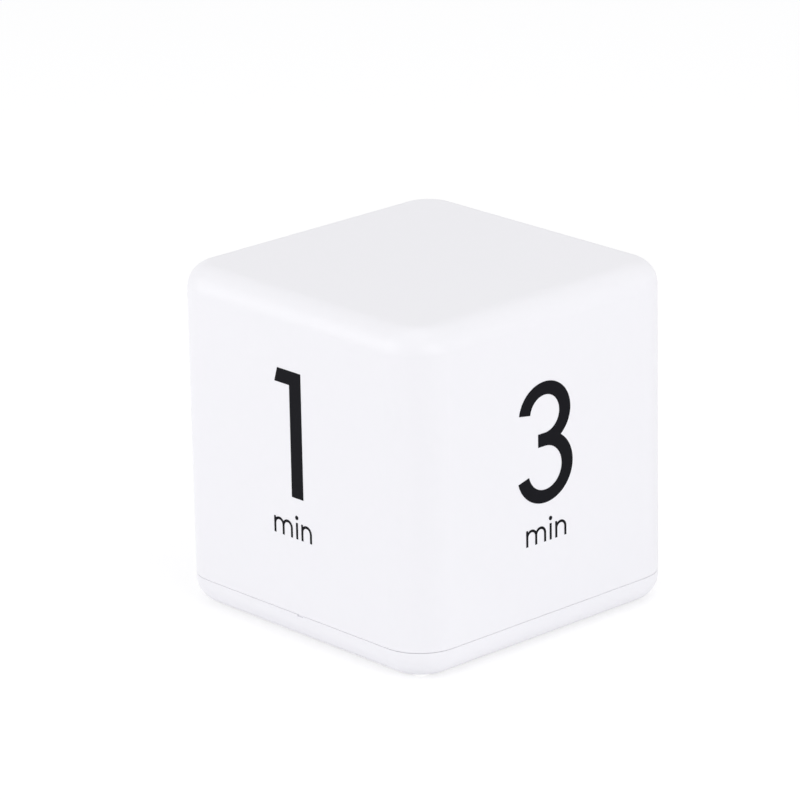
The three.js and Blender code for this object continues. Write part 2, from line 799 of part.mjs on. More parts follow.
// Display: outer window, two glasses, reflector, and strips that join the glass to the board
function addDisplay(parent) {
  const display = new THREE.Group();
  display.position.set(0, displayY, coverPlate);
  parent.add(display);
  addPiece(display, 'display_frame', makeDisplayFrame(), whitePlastic);

  const rearDepth = glassDepth - 2 * glassLedge;
  const layers = [
    ['display_lens', lensLength, lensDepth, lensThickness, lensSetIn - coverPlate, clearPlastic],
    ['display_front_glass', glassLength, glassDepth, glassThickness, 0, glass],
    ['display_rear_glass', glassLength, rearDepth, glassThickness, glassThickness, glass],
    ['display_reflector', glassLength, rearDepth, reflectorThickness, 2 * glassThickness, reflectorFilm],
  ];
  for (const [name, length, depth, thickness, bottomZ, material] of layers) {
    const layer = addPiece(display, name, new THREE.BoxGeometry(length, depth, thickness), material);
    layer.position.z = bottomZ + thickness / 2;
  }

  const stripHeight = frameHeight - glassThickness;
  const strip = new THREE.BoxGeometry(glassLength, stripThickness, stripHeight);
  [-1, 1].forEach((side, index) => {
    const mesh = addPiece(display, `contact_strip_${index + 1}`, strip, rubber);
    mesh.position.set(0, side * (glassDepth - stripThickness) / 2, glassThickness + stripHeight / 2);
  });
}

// Knob: ribbed finger grip below, flange that runs on the plate, and a pocket for the lever above
function makeKnob() {
  const flangeZ = coverPlate + slideGap;
  const flangeTop = flangeZ + knobFlangeThickness;
  const hubTop = switchBodyZ - knobHubGap;
  const hubHalfLength = leverLength / 2 + fitGap + knobPocketWall;
  const hubHalfDepth = leverDepth / 2 + fitGap + knobPocketWall;
  const flange = boxBetween(
    -knobFlangeLength / 2, knobFlangeLength / 2,
    -knobFlangeDepth / 2, knobFlangeDepth / 2,
    flangeZ, flangeTop,
  );
  const hub = boxBetween(-hubHalfLength, hubHalfLength, -hubHalfDepth, hubHalfDepth, flangeZ, hubTop);
  const pocket = boxBetween(
    -leverLength / 2 - fitGap, leverLength / 2 + fitGap,
    -leverDepth / 2 - fitGap, leverDepth / 2 + fitGap,
    flangeTop, hubTop + cutOverrun,
  );
  return toGeometry(toSolid(makeKnobGrip(flangeZ + slideGap)).add(flange).add(hub).subtract(pocket));
}

function makeKnobGrip(topZ) {
  const half = knobLength / 2;
  const pitch = knobLength / (2 * knobRibCount - 1);
  const outline = [[-half, topZ]];
  for (let rib = 0; rib < knobRibCount; rib++) {
    const x = -half + 2 * rib * pitch;
    if (rib > 0) {
      outline.push([x, knobSetIn + knobRib]);
    }
    outline.push([x, knobSetIn], [x + pitch, knobSetIn]);
    if (rib + 1 < knobRibCount) {
      outline.push([x + pitch, knobSetIn + knobRib]);
    }
  }
  outline.push([half, topZ]);
  const shape = new THREE.Shape(outline.map(([x, z]) => new THREE.Vector2(x, z)));
  const grip = new THREE.ExtrudeGeometry(shape, { depth: knobDepth, bevelEnabled: false });
  grip.rotateX(quarterTurn);
  grip.translate(0, knobDepth / 2, 0);
  return grip;
}

// Slide switch under the board: its body with a slot, and the lever that the knob carries along
function addPowerSwitch(parent) {
  const slotHalf = (leverLength + switchTravel) / 2 + fitGap;
  const body = boxBetween(
    -switchBodyLength / 2, switchBodyLength / 2,
    -switchBodyDepth / 2, switchBodyDepth / 2,
    switchBodyZ, boardZ,
  );
  const slot = boxBetween(
    -slotHalf, slotHalf,
    -leverDepth / 2 - slideGap, leverDepth / 2 + slideGap,
    switchBodyZ - cutOverrun, switchBodyZ + leverHidden + slideGap,
  );
  const switchGroup = new THREE.Group();
  switchGroup.position.y = switchY;
  parent.add(switchGroup);
  addPiece(switchGroup, 'switch_body', toGeometry(body.subtract(slot)), steel);

  const sliding = new THREE.Group();
  sliding.position.x = knobRestX;
  switchGroup.add(sliding);
  const leverBottom = coverPlate + slideGap + knobFlangeThickness + leverTipGap;
  const leverHeight = switchBodyZ + leverHidden - leverBottom;
  const leverBar = new THREE.BoxGeometry(leverLength, leverDepth, leverHeight);
  addPiece(sliding, 'switch_lever', leverBar, knobPlastic).position.z = leverBottom + leverHeight / 2;
  addPiece(sliding, 'switch_knob', makeKnob(), knobPlastic);
}

function makeBoard() {
  const board = boxBetween(-boardHalfLength, boardHalfLength, boardFrontY, boardBackY, boardZ, boardTopZ);
  const hole = boardScrewShankRadius + fitGap;
  const holes = boardHolePlaces().map(([x, y]) => (
    uprightRound(hole, x, y, boardZ - cutOverrun, boardTopZ + cutOverrun, smallSegments)
  ));
  return toGeometry(holes.reduce((solid, cut) => solid.subtract(cut), board));
}

function makeChipBlob() {
  const profile = [new THREE.Vector2(0, 0)];
  for (let step = 0; step <= filletSegments; step++) {
    const angle = (step / filletSegments) * quarterTurn;
    profile.push(new THREE.Vector2(chipRadius * Math.cos(angle), chipHeight * Math.sin(angle)));
  }
  profile[profile.length - 1].x = 0;
  const blob = new THREE.LatheGeometry(profile, smallSegments);
  blob.rotateX(quarterTurn);
  return blob;
}

function makeCrystalCan() {
  const radius = crystalDepth / 2;
  const straight = crystalLength / 2 - radius;
  const shape = new THREE.Shape();
  shape.absarc(straight, 0, radius, -quarterTurn, quarterTurn);
  shape.absarc(-straight, 0, radius, quarterTurn, 3 * quarterTurn);
  return new THREE.ExtrudeGeometry(shape, {
    depth: crystalHeight, bevelEnabled: false, curveSegments: filletSegments,
  });
}

function addBoard(parent) {
  addPiece(parent, 'main_board', makeBoard(), boardGreen);
  const screw = makeScrew(
    boardScrewShankRadius, boardScrewLength, boardScrewTip,
    boardScrewHeadRadius, boardScrewHeadHeight, screwSlotDepth / 2,
  );
  boardHolePlaces().forEach(([x, y], index) => {
    addPiece(parent, `board_screw_${index + 1}`, screw, steel).position.set(x, y, boardTopZ);
  });

  const top = new THREE.Group();
  top.position.set(0, boardMidY, boardTopZ);
  parent.add(top);
  const clear = canRadius + partsGap;
  const chipPlace = clear + chipRadius;
  addPiece(top, 'timer_chip', makeChipBlob(), epoxy).position.set(chipPlace, chipPlace, 0);
  addPiece(top, 'crystal', makeCrystalCan(), steel)
    .position.set(-clear - crystalLength / 2, clear + crystalDepth / 2, 0);
  const capacitor = new THREE.CylinderGeometry(
    capacitorRadius, capacitorRadius, capacitorHeight, roundSegments,
  );
  capacitor.rotateX(quarterTurn);
  const capacitorPlace = -clear - capacitorRadius;
  addPiece(top, 'capacitor', capacitor, capacitorSleeve)
    .position.set(capacitorPlace, capacitorPlace, capacitorHeight / 2);
  const resistor = new THREE.BoxGeometry(resistorLength, resistorDepth, resistorHeight);
  [0, 1].forEach((row) => {
    const y = -clear - resistorDepth / 2 - row * (resistorDepth + partsGap);
    addPiece(top, `resistor_${row + 1}`, resistor, epoxy)
      .position.set(clear + resistorLength / 2, y, resistorHeight / 2);
  });
  addTiltSwitches(top);
}

// Tilt switches: each can lies outwards from the middle and holds a ball that rolls along it
function addTiltSwitches(parent) {
  const innerRadius = canRadius - canWall;
  const canProfile = [
    new THREE.Vector2(0, 0),
    new THREE.Vector2(canRadius, 0),
    new THREE.Vector2(canRadius, canLength),
    new THREE.Vector2(innerRadius, canLength),
    new THREE.Vector2(innerRadius, canWall),
    new THREE.Vector2(0, canWall),
  ];
  const can = new THREE.LatheGeometry(canProfile, smallSegments);
  const base = new THREE.CylinderGeometry(canRadius, canRadius, canBaseThickness, smallSegments);
  const ball = new THREE.SphereGeometry(ballRadius, smallSegments, smallSegments / 2);
  const start = canRadius + canCrossGap;
  for (let turn = 0; turn < 4; turn++) {
    const arm = new THREE.Group();
    arm.rotation.z = turn * quarterTurn + Math.PI;
    arm.position.z = canRadius + canLift;
    parent.add(arm);
    addPiece(arm, `tilt_can_${turn + 1}`, can, steel).position.y = start;
    const canEnd = start + canLength;
    addPiece(arm, `tilt_base_${turn + 1}`, base, blackSheath).position.y = canEnd + canBaseThickness / 2;
    addPiece(arm, `tilt_ball_${turn + 1}`, ball, brass).position.y = (start + canWall + canEnd) / 2;
  }
}

function addBuzzer(parent) {
  const seatZ = ceilingZ - buzzerSeatRise;
  const disc = new THREE.CylinderGeometry(buzzerRadius, buzzerRadius, buzzerThickness, roundSegments);
  disc.rotateX(quarterTurn);
  const discBottomZ = seatZ - buzzerThickness;
  addPiece(parent, 'buzzer_disc', disc, brass).position.z = discBottomZ + buzzerThickness / 2;
  const wafer = new THREE.CylinderGeometry(ceramicRadius, ceramicRadius, ceramicThickness, roundSegments);
  wafer.rotateX(quarterTurn);
  addPiece(parent, 'buzzer_ceramic', wafer, ceramic).position.z = discBottomZ - ceramicThickness / 2;
}

// A sheathed lead: an even round section along a smooth way
function makeLead(points) {
  const section = new THREE.Shape();
  section.absarc(0, 0, leadRadius, 0, 2 * Math.PI);
  return new THREE.ExtrudeGeometry(section, {
    extrudePath: new THREE.CatmullRomCurve3(points),
    curveSegments: leadSides / 2,
    steps: leadSteps,
  });
}

// The lead's way: straight out of its joint, two points along, and straight down onto its pad
function leadWay(start, startWay, end, wayShares, rise) {
  const up = new THREE.Vector3(0, 0, 1);
  return [
    start,
    start.clone().addScaledVector(up, startWay * leadStraight),
    ...wayShares.map((share) => start.clone().lerp(end, share).addScaledVector(up, rise)),
    end.clone().addScaledVector(up, leadStraight),
    end,
  ];
}

function addLeads(parent) {
  const tabX = bayHalfLength - contactThickness / 2;
  const tabTop = bayTopZ + contactTabRise + fitGap;
  const padTop = boardTopZ + fitGap;
  const redTab = new THREE.Vector3(tabX, frontCellY, tabTop);
  const blackTab = new THREE.Vector3(tabX, backCellY, tabTop);
  const redBatteryPad = new THREE.Vector3(innerPadX, padY, padTop);
  const blackBatteryPad = new THREE.Vector3(outerPadX, padY, padTop);

  const discZ = ceilingZ - buzzerSeatRise - buzzerThickness - fitGap;
  const ceramicJoint = new THREE.Vector3(ceramicJointInset - ceramicRadius, 0, discZ - ceramicThickness);
  const discJoint = new THREE.Vector3(buzzerJointInset - buzzerRadius, 0, discZ);
  const redBuzzerPad = new THREE.Vector3(-innerPadX, padY, padTop);
  const blackBuzzerPad = new THREE.Vector3(-outerPadX, padY, padTop);

  const ways = [
    ['battery_lead_red', redSheath, redTab, 1, redBatteryPad, batteryLeadWayShares, batteryLeadRise],
    ['battery_lead_black', blackSheath, blackTab, 1, blackBatteryPad, batteryLeadWayShares, batteryLeadRise],
    ['buzzer_lead_red', redSheath, ceramicJoint, -1, redBuzzerPad, buzzerLeadWayShares, 0],
    ['buzzer_lead_black', blackSheath, discJoint, -1, blackBuzzerPad, buzzerLeadWayShares, 0],
  ];
  for (const [name, material, ...way] of ways) {
    addPiece(parent, name, makeLead(leadWay(...way)), material);
  }
}

// Points along an elliptical arc, with angles in degrees
function arcPoints(x, y, radiusX, radiusY, startAngle, endAngle) {
  const points = [];
  for (let step = 0; step <= strokeSegments; step++) {
    const angle = THREE.MathUtils.degToRad(startAngle + (endAngle - startAngle) * step / strokeSegments);
    points.push(new THREE.Vector2(x + radiusX * Math.cos(angle), y + radiusY * Math.sin(angle)));
  }
  return points;
}

// A stroke of even width along a line of points, as a thin solid
function makeStroke(points, width) {
  const left = [];
  const right = [];
  points.forEach((point, index) => {
    const before = points[Math.max(index - 1, 0)];
    const after = points[Math.min(index + 1, points.length - 1)];
    const way = after.clone().sub(before).normalize();
    const across = new THREE.Vector2(-way.y, way.x).multiplyScalar(width / 2);
    left.push(point.clone().add(across));
    right.unshift(point.clone().sub(across));
  });
  return makePrint(new THREE.Shape([...left, ...right]));
}

function makePrint(shape) {
  return new THREE.ExtrudeGeometry(shape, {
    depth: printThickness, bevelEnabled: false, curveSegments: strokeSegments,
  });
}

function makeOne() {
  const left = oneStemRight - oneStem;
  const top = oneHeight;
  return makePrint(new THREE.Shape([
    new THREE.Vector2(left, 0),
    new THREE.Vector2(oneStemRight, 0),
    new THREE.Vector2(oneStemRight, top),
    new THREE.Vector2(left - oneFlagReach, top),
    new THREE.Vector2(left - oneFlagReach - oneFlagSlant, top - oneFlagHeight),
    new THREE.Vector2(left, top - oneFlagHeight),
  ]));
}

function makeThree() {
  const inset = numeralStroke / 2;
  const waist = threeHeight * threeWaistShare;
  const bar = new THREE.Vector2(-threeWidth * threeBarShare, waist);
  const upperRadiusX = threeWidth * threeUpperWidthShare / 2 - inset;
  const upperRadiusY = (threeHeight - inset - waist) / 2;
  const lowerRadiusX = threeWidth / 2 - inset;
  const lowerRadiusY = (waist - inset) / 2;
  const upper = arcPoints(0, waist + upperRadiusY, upperRadiusX, upperRadiusY, threeUpperStart, -90);
  const lower = arcPoints(0, waist - lowerRadiusY, lowerRadiusX, lowerRadiusY, 90, threeLowerEnd);
  const upperBowl = toSolid(makeStroke([...upper, bar], numeralStroke));
  const lowerBowl = toSolid(makeStroke([bar, ...lower], numeralStroke));
  return toGeometry(upperBowl.add(lowerBowl));
}

function makeFive() {
  const inset = numeralStroke / 2;
  const bowlTop = threeHeight * fiveBowlShare;
  const radiusX = fiveWidth / 2 - inset;
  const radiusY = (bowlTop - numeralStroke) / 2;
  const bowl = arcPoints(0, radiusY + inset, radiusX, radiusY, fiveBowlStart, fiveBowlEnd);
  const stemTop = new THREE.Vector2(-fiveWidth * fiveStemTopShare, threeHeight - inset);
  const stemFoot = new THREE.Vector2(-fiveWidth * fiveStemFootShare, bowl[0].y);
  const barEnd = new THREE.Vector2(fiveWidth * fiveBarShare, threeHeight - inset);
  const barStart = stemTop.clone().setX(stemTop.x - inset);
  const strokes = [bowl, [stemTop, stemFoot], [barStart, barEnd]];
  return toGeometry(joinAll(strokes.map((points) => toSolid(makeStroke(points, numeralStroke)))));
}

function makeZero() {
  const shape = new THREE.Shape();
  const hole = new THREE.Path();
  const middle = oneHeight / 2;
  shape.absellipse(0, middle, zeroWidth / 2, middle, 0, 2 * Math.PI);
  hole.absellipse(0, middle, zeroWidth / 2 - numeralStroke, middle - numeralStroke, 0, 2 * Math.PI);
  shape.holes.push(hole);
  return makePrint(shape);
}

// Numerals: each lies on its side face, and the faces follow each other anticlockwise from above
function addNumerals(parent) {
  const oneWidth = oneStem + oneFlagReach + oneFlagSlant;
  const tenHalfWidth = (oneWidth + tenSpacing + zeroWidth) / 2;
  const tenOneX = oneWidth - oneStemRight - tenHalfWidth;
  const tenZeroX = tenHalfWidth - zeroWidth / 2;
  const oneBase = cubeSize * oneBaseShare;
  const threeBase = cubeSize * threeBaseShare;
  const prints = [
    ['numeral_1', makeOne(), 0, 0, oneBase],
    ['numeral_3', makeThree(), 1, bowlShift, threeBase],
    ['numeral_5', makeFive(), 2, bowlShift, threeBase],
    ['numeral_10_one', makeOne(), 3, tenOneX, oneBase],
    ['numeral_10_zero', makeZero(), 3, tenZeroX, oneBase],
  ];
  for (const [name, geometry, face, x, z] of prints) {
    const side = new THREE.Group();
    side.rotation.z = face * quarterTurn;
    parent.add(side);
    const numeral = addPiece(side, name, geometry, printInk);
    numeral.position.set(x, -halfCube, z);
    numeral.rotation.x = quarterTurn;
  }
}

const group = new THREE.Group();
addPiece(group, 'main_shell', makeMainShell(), whitePlastic);
addPiece(group, 'bottom_cover', makeBottomCover(), whitePlastic);
addPiece(group, 'battery_door', makeBatteryDoor(), whitePlastic);
addCoverScrews(group);
addBattery(group);
addDisplay(group);
addPowerSwitch(group);
addBoard(group);
addBuzzer(group);
addLeads(group);
addNumerals(group);

export default group;
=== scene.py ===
import json
import math

import bpy
from mathutils import Matrix, Vector

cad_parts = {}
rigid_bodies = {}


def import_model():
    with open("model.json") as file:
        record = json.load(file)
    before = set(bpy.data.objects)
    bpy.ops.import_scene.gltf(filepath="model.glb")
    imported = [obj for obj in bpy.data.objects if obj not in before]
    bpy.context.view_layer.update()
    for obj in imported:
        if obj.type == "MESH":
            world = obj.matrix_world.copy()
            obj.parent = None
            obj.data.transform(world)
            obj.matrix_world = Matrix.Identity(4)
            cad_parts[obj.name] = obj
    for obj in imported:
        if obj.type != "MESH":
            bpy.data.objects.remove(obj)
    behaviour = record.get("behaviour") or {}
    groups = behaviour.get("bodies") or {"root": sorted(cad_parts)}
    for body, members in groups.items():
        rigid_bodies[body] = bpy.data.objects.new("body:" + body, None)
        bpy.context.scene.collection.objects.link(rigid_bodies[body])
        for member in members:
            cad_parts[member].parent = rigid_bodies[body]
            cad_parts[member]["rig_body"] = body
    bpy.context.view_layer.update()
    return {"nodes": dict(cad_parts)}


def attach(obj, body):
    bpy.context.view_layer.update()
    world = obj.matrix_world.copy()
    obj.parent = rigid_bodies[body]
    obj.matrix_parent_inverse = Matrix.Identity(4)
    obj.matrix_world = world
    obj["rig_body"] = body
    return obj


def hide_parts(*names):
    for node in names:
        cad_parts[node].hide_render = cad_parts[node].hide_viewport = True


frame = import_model()
nodes = frame["nodes"]
mm = 0.001  # sizes below are in millimetres, meshes in metres
print("frame: %d nodes loaded" % len(nodes))


def fillInputs(tree, node, inputs):
    # a socket is linked, anything else is set as the input's own value
    for key, value in inputs.items():
        if isinstance(value, bpy.types.NodeSocket):
            tree.links.new(value, node.inputs[key])
        else:
            node.inputs[key].default_value = value
    return node


def addNode(tree, kind, inputs=None, **settings):
    node = tree.nodes.new(kind)
    for name, value in settings.items():
        setattr(node, name, value)
    return fillInputs(tree, node, inputs or {})


def feed(tree, kind, inputs=None, output=0, **settings):
    # one output of a new node, to be linked on
    return addNode(tree, kind, inputs, **settings).outputs[output]


def mathNode(tree, operation, *values):
    return feed(tree, "ShaderNodeMath", dict(enumerate(values)), operation=operation)


def startTree(name, kind, inputs, outputs):
    # inputs and outputs are the sockets' names under their kinds
    tree = bpy.data.node_groups.new(name, kind)
    for way, sockets in (("OUTPUT", outputs), ("INPUT", inputs)):
        for socketKind, labels in sockets.items():
            for label in labels.split(", "):
                tree.interface.new_socket(label, in_out=way, socket_type="NodeSocket" + socketKind)
    return tree, addNode(tree, "NodeGroupInput").outputs


# surfaces: two shader groups, each with its own values in every finish
grain = {"detail": 2.0, "roughness": 0.6, "waveDetail": 1.0, "patchRatio": 14.0, "patchDetail": 3.0}
scratch = {"detail": 3.0, "roughness": 0.7, "spotRatio": 20.0, "spotDetail": 4.0, "spotRoughness": 0.6}


def startSurface(name, ownInputs):
    floats = "Shade Spread, Roughness, Gloss Spread, " + ownInputs
    return startTree(name, "ShaderNodeTree", {"Color": "Color", "Float": floats},
                     {"Color": "Color", "Float": "Roughness, Height"})


def noiseAt(tree, place, size, detail, roughness=0.5):
    return feed(tree, "ShaderNodeTexNoise", {
        "Vector": place, "Scale": mathNode(tree, "DIVIDE", 1.0, size), "Detail": detail,
        "Roughness": roughness}, "Fac")


def varied(tree, level, mask, spread):
    # a level that a noise moves up and down
    change = mathNode(tree, "MULTIPLY", mathNode(tree, "SUBTRACT", mask, 0.5), spread)
    return mathNode(tree, "ADD", level, change)


def endSurface(tree, given, shadeMask, glossMask, height):
    value = varied(tree, 1.0, shadeMask, given["Shade Spread"])
    addNode(tree, "NodeGroupOutput", {
        "Color": feed(tree, "ShaderNodeHueSaturation", {"Color": given["Color"], "Value": value}),
        "Roughness": varied(tree, given["Roughness"], glossMask, given["Gloss Spread"]), "Height": height})
    return tree


def makeMouldedGroup():
    # fine spark-eroded grain, slow flow waves, and a little unevenness of shade and gloss
    tree, given = startSurface("mouldedSurface", "Grain Size, Grain Depth, Wave Size, Wave Depth")
    place = feed(tree, "ShaderNodeTexCoord", output="Object")
    fine = noiseAt(tree, place, given["Grain Size"], grain["detail"], grain["roughness"])
    wave = noiseAt(tree, place, given["Wave Size"], grain["waveDetail"])
    patchSize = mathNode(tree, "MULTIPLY", given["Grain Size"], grain["patchRatio"])
    patch = noiseAt(tree, place, patchSize, grain["patchDetail"])
    height = mathNode(tree, "MULTIPLY", fine, given["Grain Depth"])
    height = mathNode(tree, "MULTIPLY_ADD", wave, given["Wave Depth"], height)
    return endSurface(tree, given, patch, patch, height)


def makeMetalGroup():
    # drawn or rolled metal: fine scratches along one way and a few dull spots
    tree, given = startSurface("workedMetal", "Scratch Size, Scratch Stretch, Scratch Depth")
    place = feed(tree, "ShaderNodeTexCoord", output="Object")
    split = addNode(tree, "ShaderNodeSeparateXYZ", {0: place}).outputs
    along = mathNode(tree, "DIVIDE", split["X"], given["Scratch Stretch"])
    drawn = feed(tree, "ShaderNodeCombineXYZ", {"X": along, "Y": split["Y"], "Z": split["Z"]})
    lines = noiseAt(tree, drawn, given["Scratch Size"], scratch["detail"], scratch["roughness"])
    spotSize = mathNode(tree, "MULTIPLY", given["Scratch Size"], scratch["spotRatio"])
    spots = noiseAt(tree, place, spotSize, scratch["spotDetail"], scratch["spotRoughness"])
    both = [mathNode(tree, "MULTIPLY", mask, 0.5) for mask in (lines, spots)]
    return endSurface(tree, given, spots, mathNode(tree, "ADD", *both),
                      mathNode(tree, "MULTIPLY", lines, given["Scratch Depth"]))


# color, shade spread, roughness, gloss spread, grain size and depth, wave size and depth in mm, and last
# the values of the shader's own sockets
mouldedFinishes = {
    "white_plastic": ((0.875, 0.87, 0.905), 0.012, 0.4, 0.05, 0.16, 0.0022, 17, 0.03, {"IOR": 1.5}),
    "print_ink": ((0.006, 0.006, 0.0085), 0.25, 0.55, 0.12, 0.09, 0.0015, 20, 0.02,
                  {"IOR": 1.45, "Specular IOR Level": 0.07}),
    "knob_plastic": ((0.022, 0.022, 0.026), 0.1, 0.42, 0.1, 0.12, 0.004, 20, 0.02, {"IOR": 1.5}),
    "clear_plastic": ((0.94, 0.96, 0.955), 0.02, 0.03, 0.03, 0.8, 0.0002, 20, 0.02,
                      {"IOR": 1.49, "Transmission Weight": 1.0}),
    "display_glass": ((0.39, 0.43, 0.36), 0.05, 0.12, 0.04, 0.3, 0.0002, 9, 0.003,
                      {"IOR": 1.52, "Coat Weight": 0.4, "Coat Roughness": 0.05}),
    "figure_shade": ((0.27, 0.3, 0.25), 0.1, 0.3, 0.04, 0.3, 0.0002, 9, 0.003,
                     {"IOR": 1.52, "Coat Weight": 0.4, "Coat Roughness": 0.05}),
    "reflector_film": ((0.36, 0.4, 0.34), 0.06, 0.45, 0.1, 0.05, 0.002, 20, 0.02,
                       {"IOR": 1.5, "Metallic": 0.3}),
    "strip_rubber": ((0.045, 0.045, 0.048), 0.3, 0.8, 0.1, 0.25, 0.01, 20, 0.02,
                     {"IOR": 1.45, "Sheen Weight": 0.2}),
    "board_green": ((0.012, 0.12, 0.035), 0.35, 0.35, 0.15, 0.11, 0.004, 20, 0.02,
                    {"IOR": 1.55, "Coat Weight": 0.5, "Coat Roughness": 0.15}),
    "ceramic": ((0.7, 0.67, 0.61), 0.08, 0.45, 0.15, 0.2, 0.004, 20, 0.02, {"IOR": 1.6}),
    "epoxy": ((0.008, 0.008, 0.009), 0.3, 0.22, 0.12, 0.5, 0.01, 20, 0.02, {"IOR": 1.55}),
    "capacitor_sleeve": ((0.016, 0.03, 0.08), 0.1, 0.3, 0.08, 0.4, 0.003, 20, 0.02,
                         {"IOR": 1.5, "Coat Weight": 0.3, "Coat Roughness": 0.1}),
    "cell_sleeve": ((0.03, 0.2, 0.1), 0.12, 0.3, 0.08, 0.3, 0.002, 20, 0.02,
                    {"IOR": 1.5, "Coat Weight": 0.5, "Coat Roughness": 0.12}),
    "red_sheath": ((0.42, 0.012, 0.01), 0.1, 0.42, 0.1, 0.2, 0.004, 20, 0.02, {"IOR": 1.5}),
    "black_sheath": ((0.01, 0.01, 0.011), 0.2, 0.45, 0.1, 0.2, 0.004, 20, 0.02, {"IOR": 1.5}),
}

# color, shade spread, roughness, gloss spread, scratch size, stretch and depth, and the shader's own values
metalFinishes = {
    "steel": ((0.62, 0.63, 0.65), 0.16, 0.3, 0.22, 0.12, 9.0, 0.0012, {"Metallic": 1.0}),
    "brass": ((0.72, 0.5, 0.2), 0.2, 0.3, 0.2, 0.1, 5.0, 0.001, {"Metallic": 1.0}),
}


def makeFinish(name, group, row):
    material = bpy.data.materials.new(name + "_finish")
    material.use_nodes = True
    tree = material.node_tree
    surface = addNode(tree, "ShaderNodeGroup", node_tree=group)
    for socket, value in zip(surface.inputs, row):
        isLength = socket.name.endswith(("Size", "Depth"))
        socket.default_value = (*value, 1) if socket.name == "Color" else value * mm if isLength else value
    given = surface.outputs
    fillInputs(tree, tree.nodes["Principled BSDF"], {
        **row[-1], "Base Color": given["Color"], "Roughness": given["Roughness"],
        "Normal": feed(tree, "ShaderNodeBump", {"Distance": 1.0, "Height": given["Height"]})})
    return material


materials = {}
for group, rows in ((makeMouldedGroup(), mouldedFinishes), (makeMetalGroup(), metalFinishes)):
    materials.update({name: makeFinish(name, group, row) for name, row in rows.items()})
for node in nodes.values():
    for slot in node.material_slots:
        slot.material = materials[slot.material.name.split(".")[0]]
print("finishes: %d made and set on the carried-over nodes" % len(materials))

shading = {"sharpAngle": 38, "weight": 90}


def pick(sizes, keys):
    return [sizes[key] for key in keys.split()]


def newObject(name, data):
    item = bpy.data.objects.new(name, data)
    bpy.context.scene.collection.objects.link(item)
    return item


def meshPiece(name, points, faces):
    mesh = bpy.data.meshes.new(name)
    mesh.from_pydata([[value * mm for value in point] for point in points], [], faces)
    mesh.validate()
    return newObject(name, mesh)


def freeze(piece):
    graph = bpy.context.evaluated_depsgraph_get()
    mesh = bpy.data.meshes.new_from_object(piece.evaluated_get(graph), depsgraph=graph)
    piece.modifiers.clear()
    piece.data = mesh
    mesh.name = piece.name
    return piece


def grow(name, tree, finish, values):
    # one object made by a Geometry Nodes tree, with each input set by its socket's identifier
    values["Finish"] = materials[finish]
    piece = newObject(name, bpy.data.meshes.new(name))
    maker = piece.modifiers.new(tree.name, "NODES")
    maker.node_group = tree
    for item in tree.interface.items_tree:
        if item.in_out == "INPUT":
            maker[item.identifier] = values[item.name]
    return freeze(piece)


def combine(piece, operation, others):
    for other in others:
        step = piece.modifiers.new("combine", "BOOLEAN")
        step.solver = "MANIFOLD"
        step.operation = operation
        step.object = other
    freeze(piece)
    # a cutter's faces take the piece's own finish
    own = next((material for material in piece.data.materials if material), None)
    piece.data.materials.clear()
    piece.data.polygons.foreach_set("material_index", [0] * len(piece.data.polygons))
    if own:
        piece.data.materials.append(own)
    for other in others:
        bpy.data.objects.remove(other)


def cut(piece, others):
    combine(piece, "DIFFERENCE", others)


def fuse(piece, others):
    combine(piece, "UNION", others)


def settle(piece):
    # smooth faces with sharp rims, where a large flat face keeps its own normal
    piece.data.shade_smooth()
    piece.data.set_sharp_from_angle(angle=math.radians(shading["sharpAngle"]))
    weigh = piece.modifiers.new("weigh", "WEIGHTED_NORMAL")
    weigh.keep_sharp = True
    weigh.weight = shading["weight"]
    return freeze(piece)


def bodyOf(name):
    return nodes[name].get("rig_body") or nodes[name].parent.name.split(":")[-1]


def dress(piece, slotName, *replaced):
    if not piece.data.materials:
        piece.data.materials.append(materials[slotName])
    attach(piece, bodyOf(replaced[0]) if replaced else "housing")
    if replaced:
        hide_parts(*replaced)
    print("%s: %d faces" % (piece.name, len(piece.data.polygons)))


def printInk(name, solids, *replaced):
    whole, *others = solids
    if others:
        fuse(whole, others)
    whole.name = name
    dress(settle(whole), "print_ink", *replaced)


# lines of points in a plane
def ellipse(x, y, radiusX, radiusY, start, end, steps):
    turns = [math.radians(start + (end - start) * step / steps) for step in range(steps + 1)]
    return [(x + radiusX * math.cos(turn), y + radiusY * math.sin(turn)) for turn in turns]


def arc(x, y, radius, start, end, steps):
    return ellipse(x, y, radius, radius, start, end, steps)


def loop(x, y, radiusX, radiusY, steps):
    return ellipse(x, y, radiusX, radiusY, 0, 360 - 360 / steps, steps - 1)


def penShape(points, width, broaden=1.0, closed=False):
    # what a pen leaves along a line, and broaden makes it wider across than up and down
    # a closed line runs clockwise and gives an outline and its hole
    count, left, right = len(points), [], []
    for index, (x, y) in enumerate(points):
        before = points[index - 1 if index or closed else 0]
        after = points[(index + 1) % count if closed else min(index + 1, count - 1)]
        way = Vector((after[0] - before[0], after[1] - before[1])).normalized() * width / 2
        way.y *= broaden
        left.append((x - way.y, y + way.x))
        right.append((x + way.y, y - way.x))
    return [left, right] if closed else [right + left[::-1]]


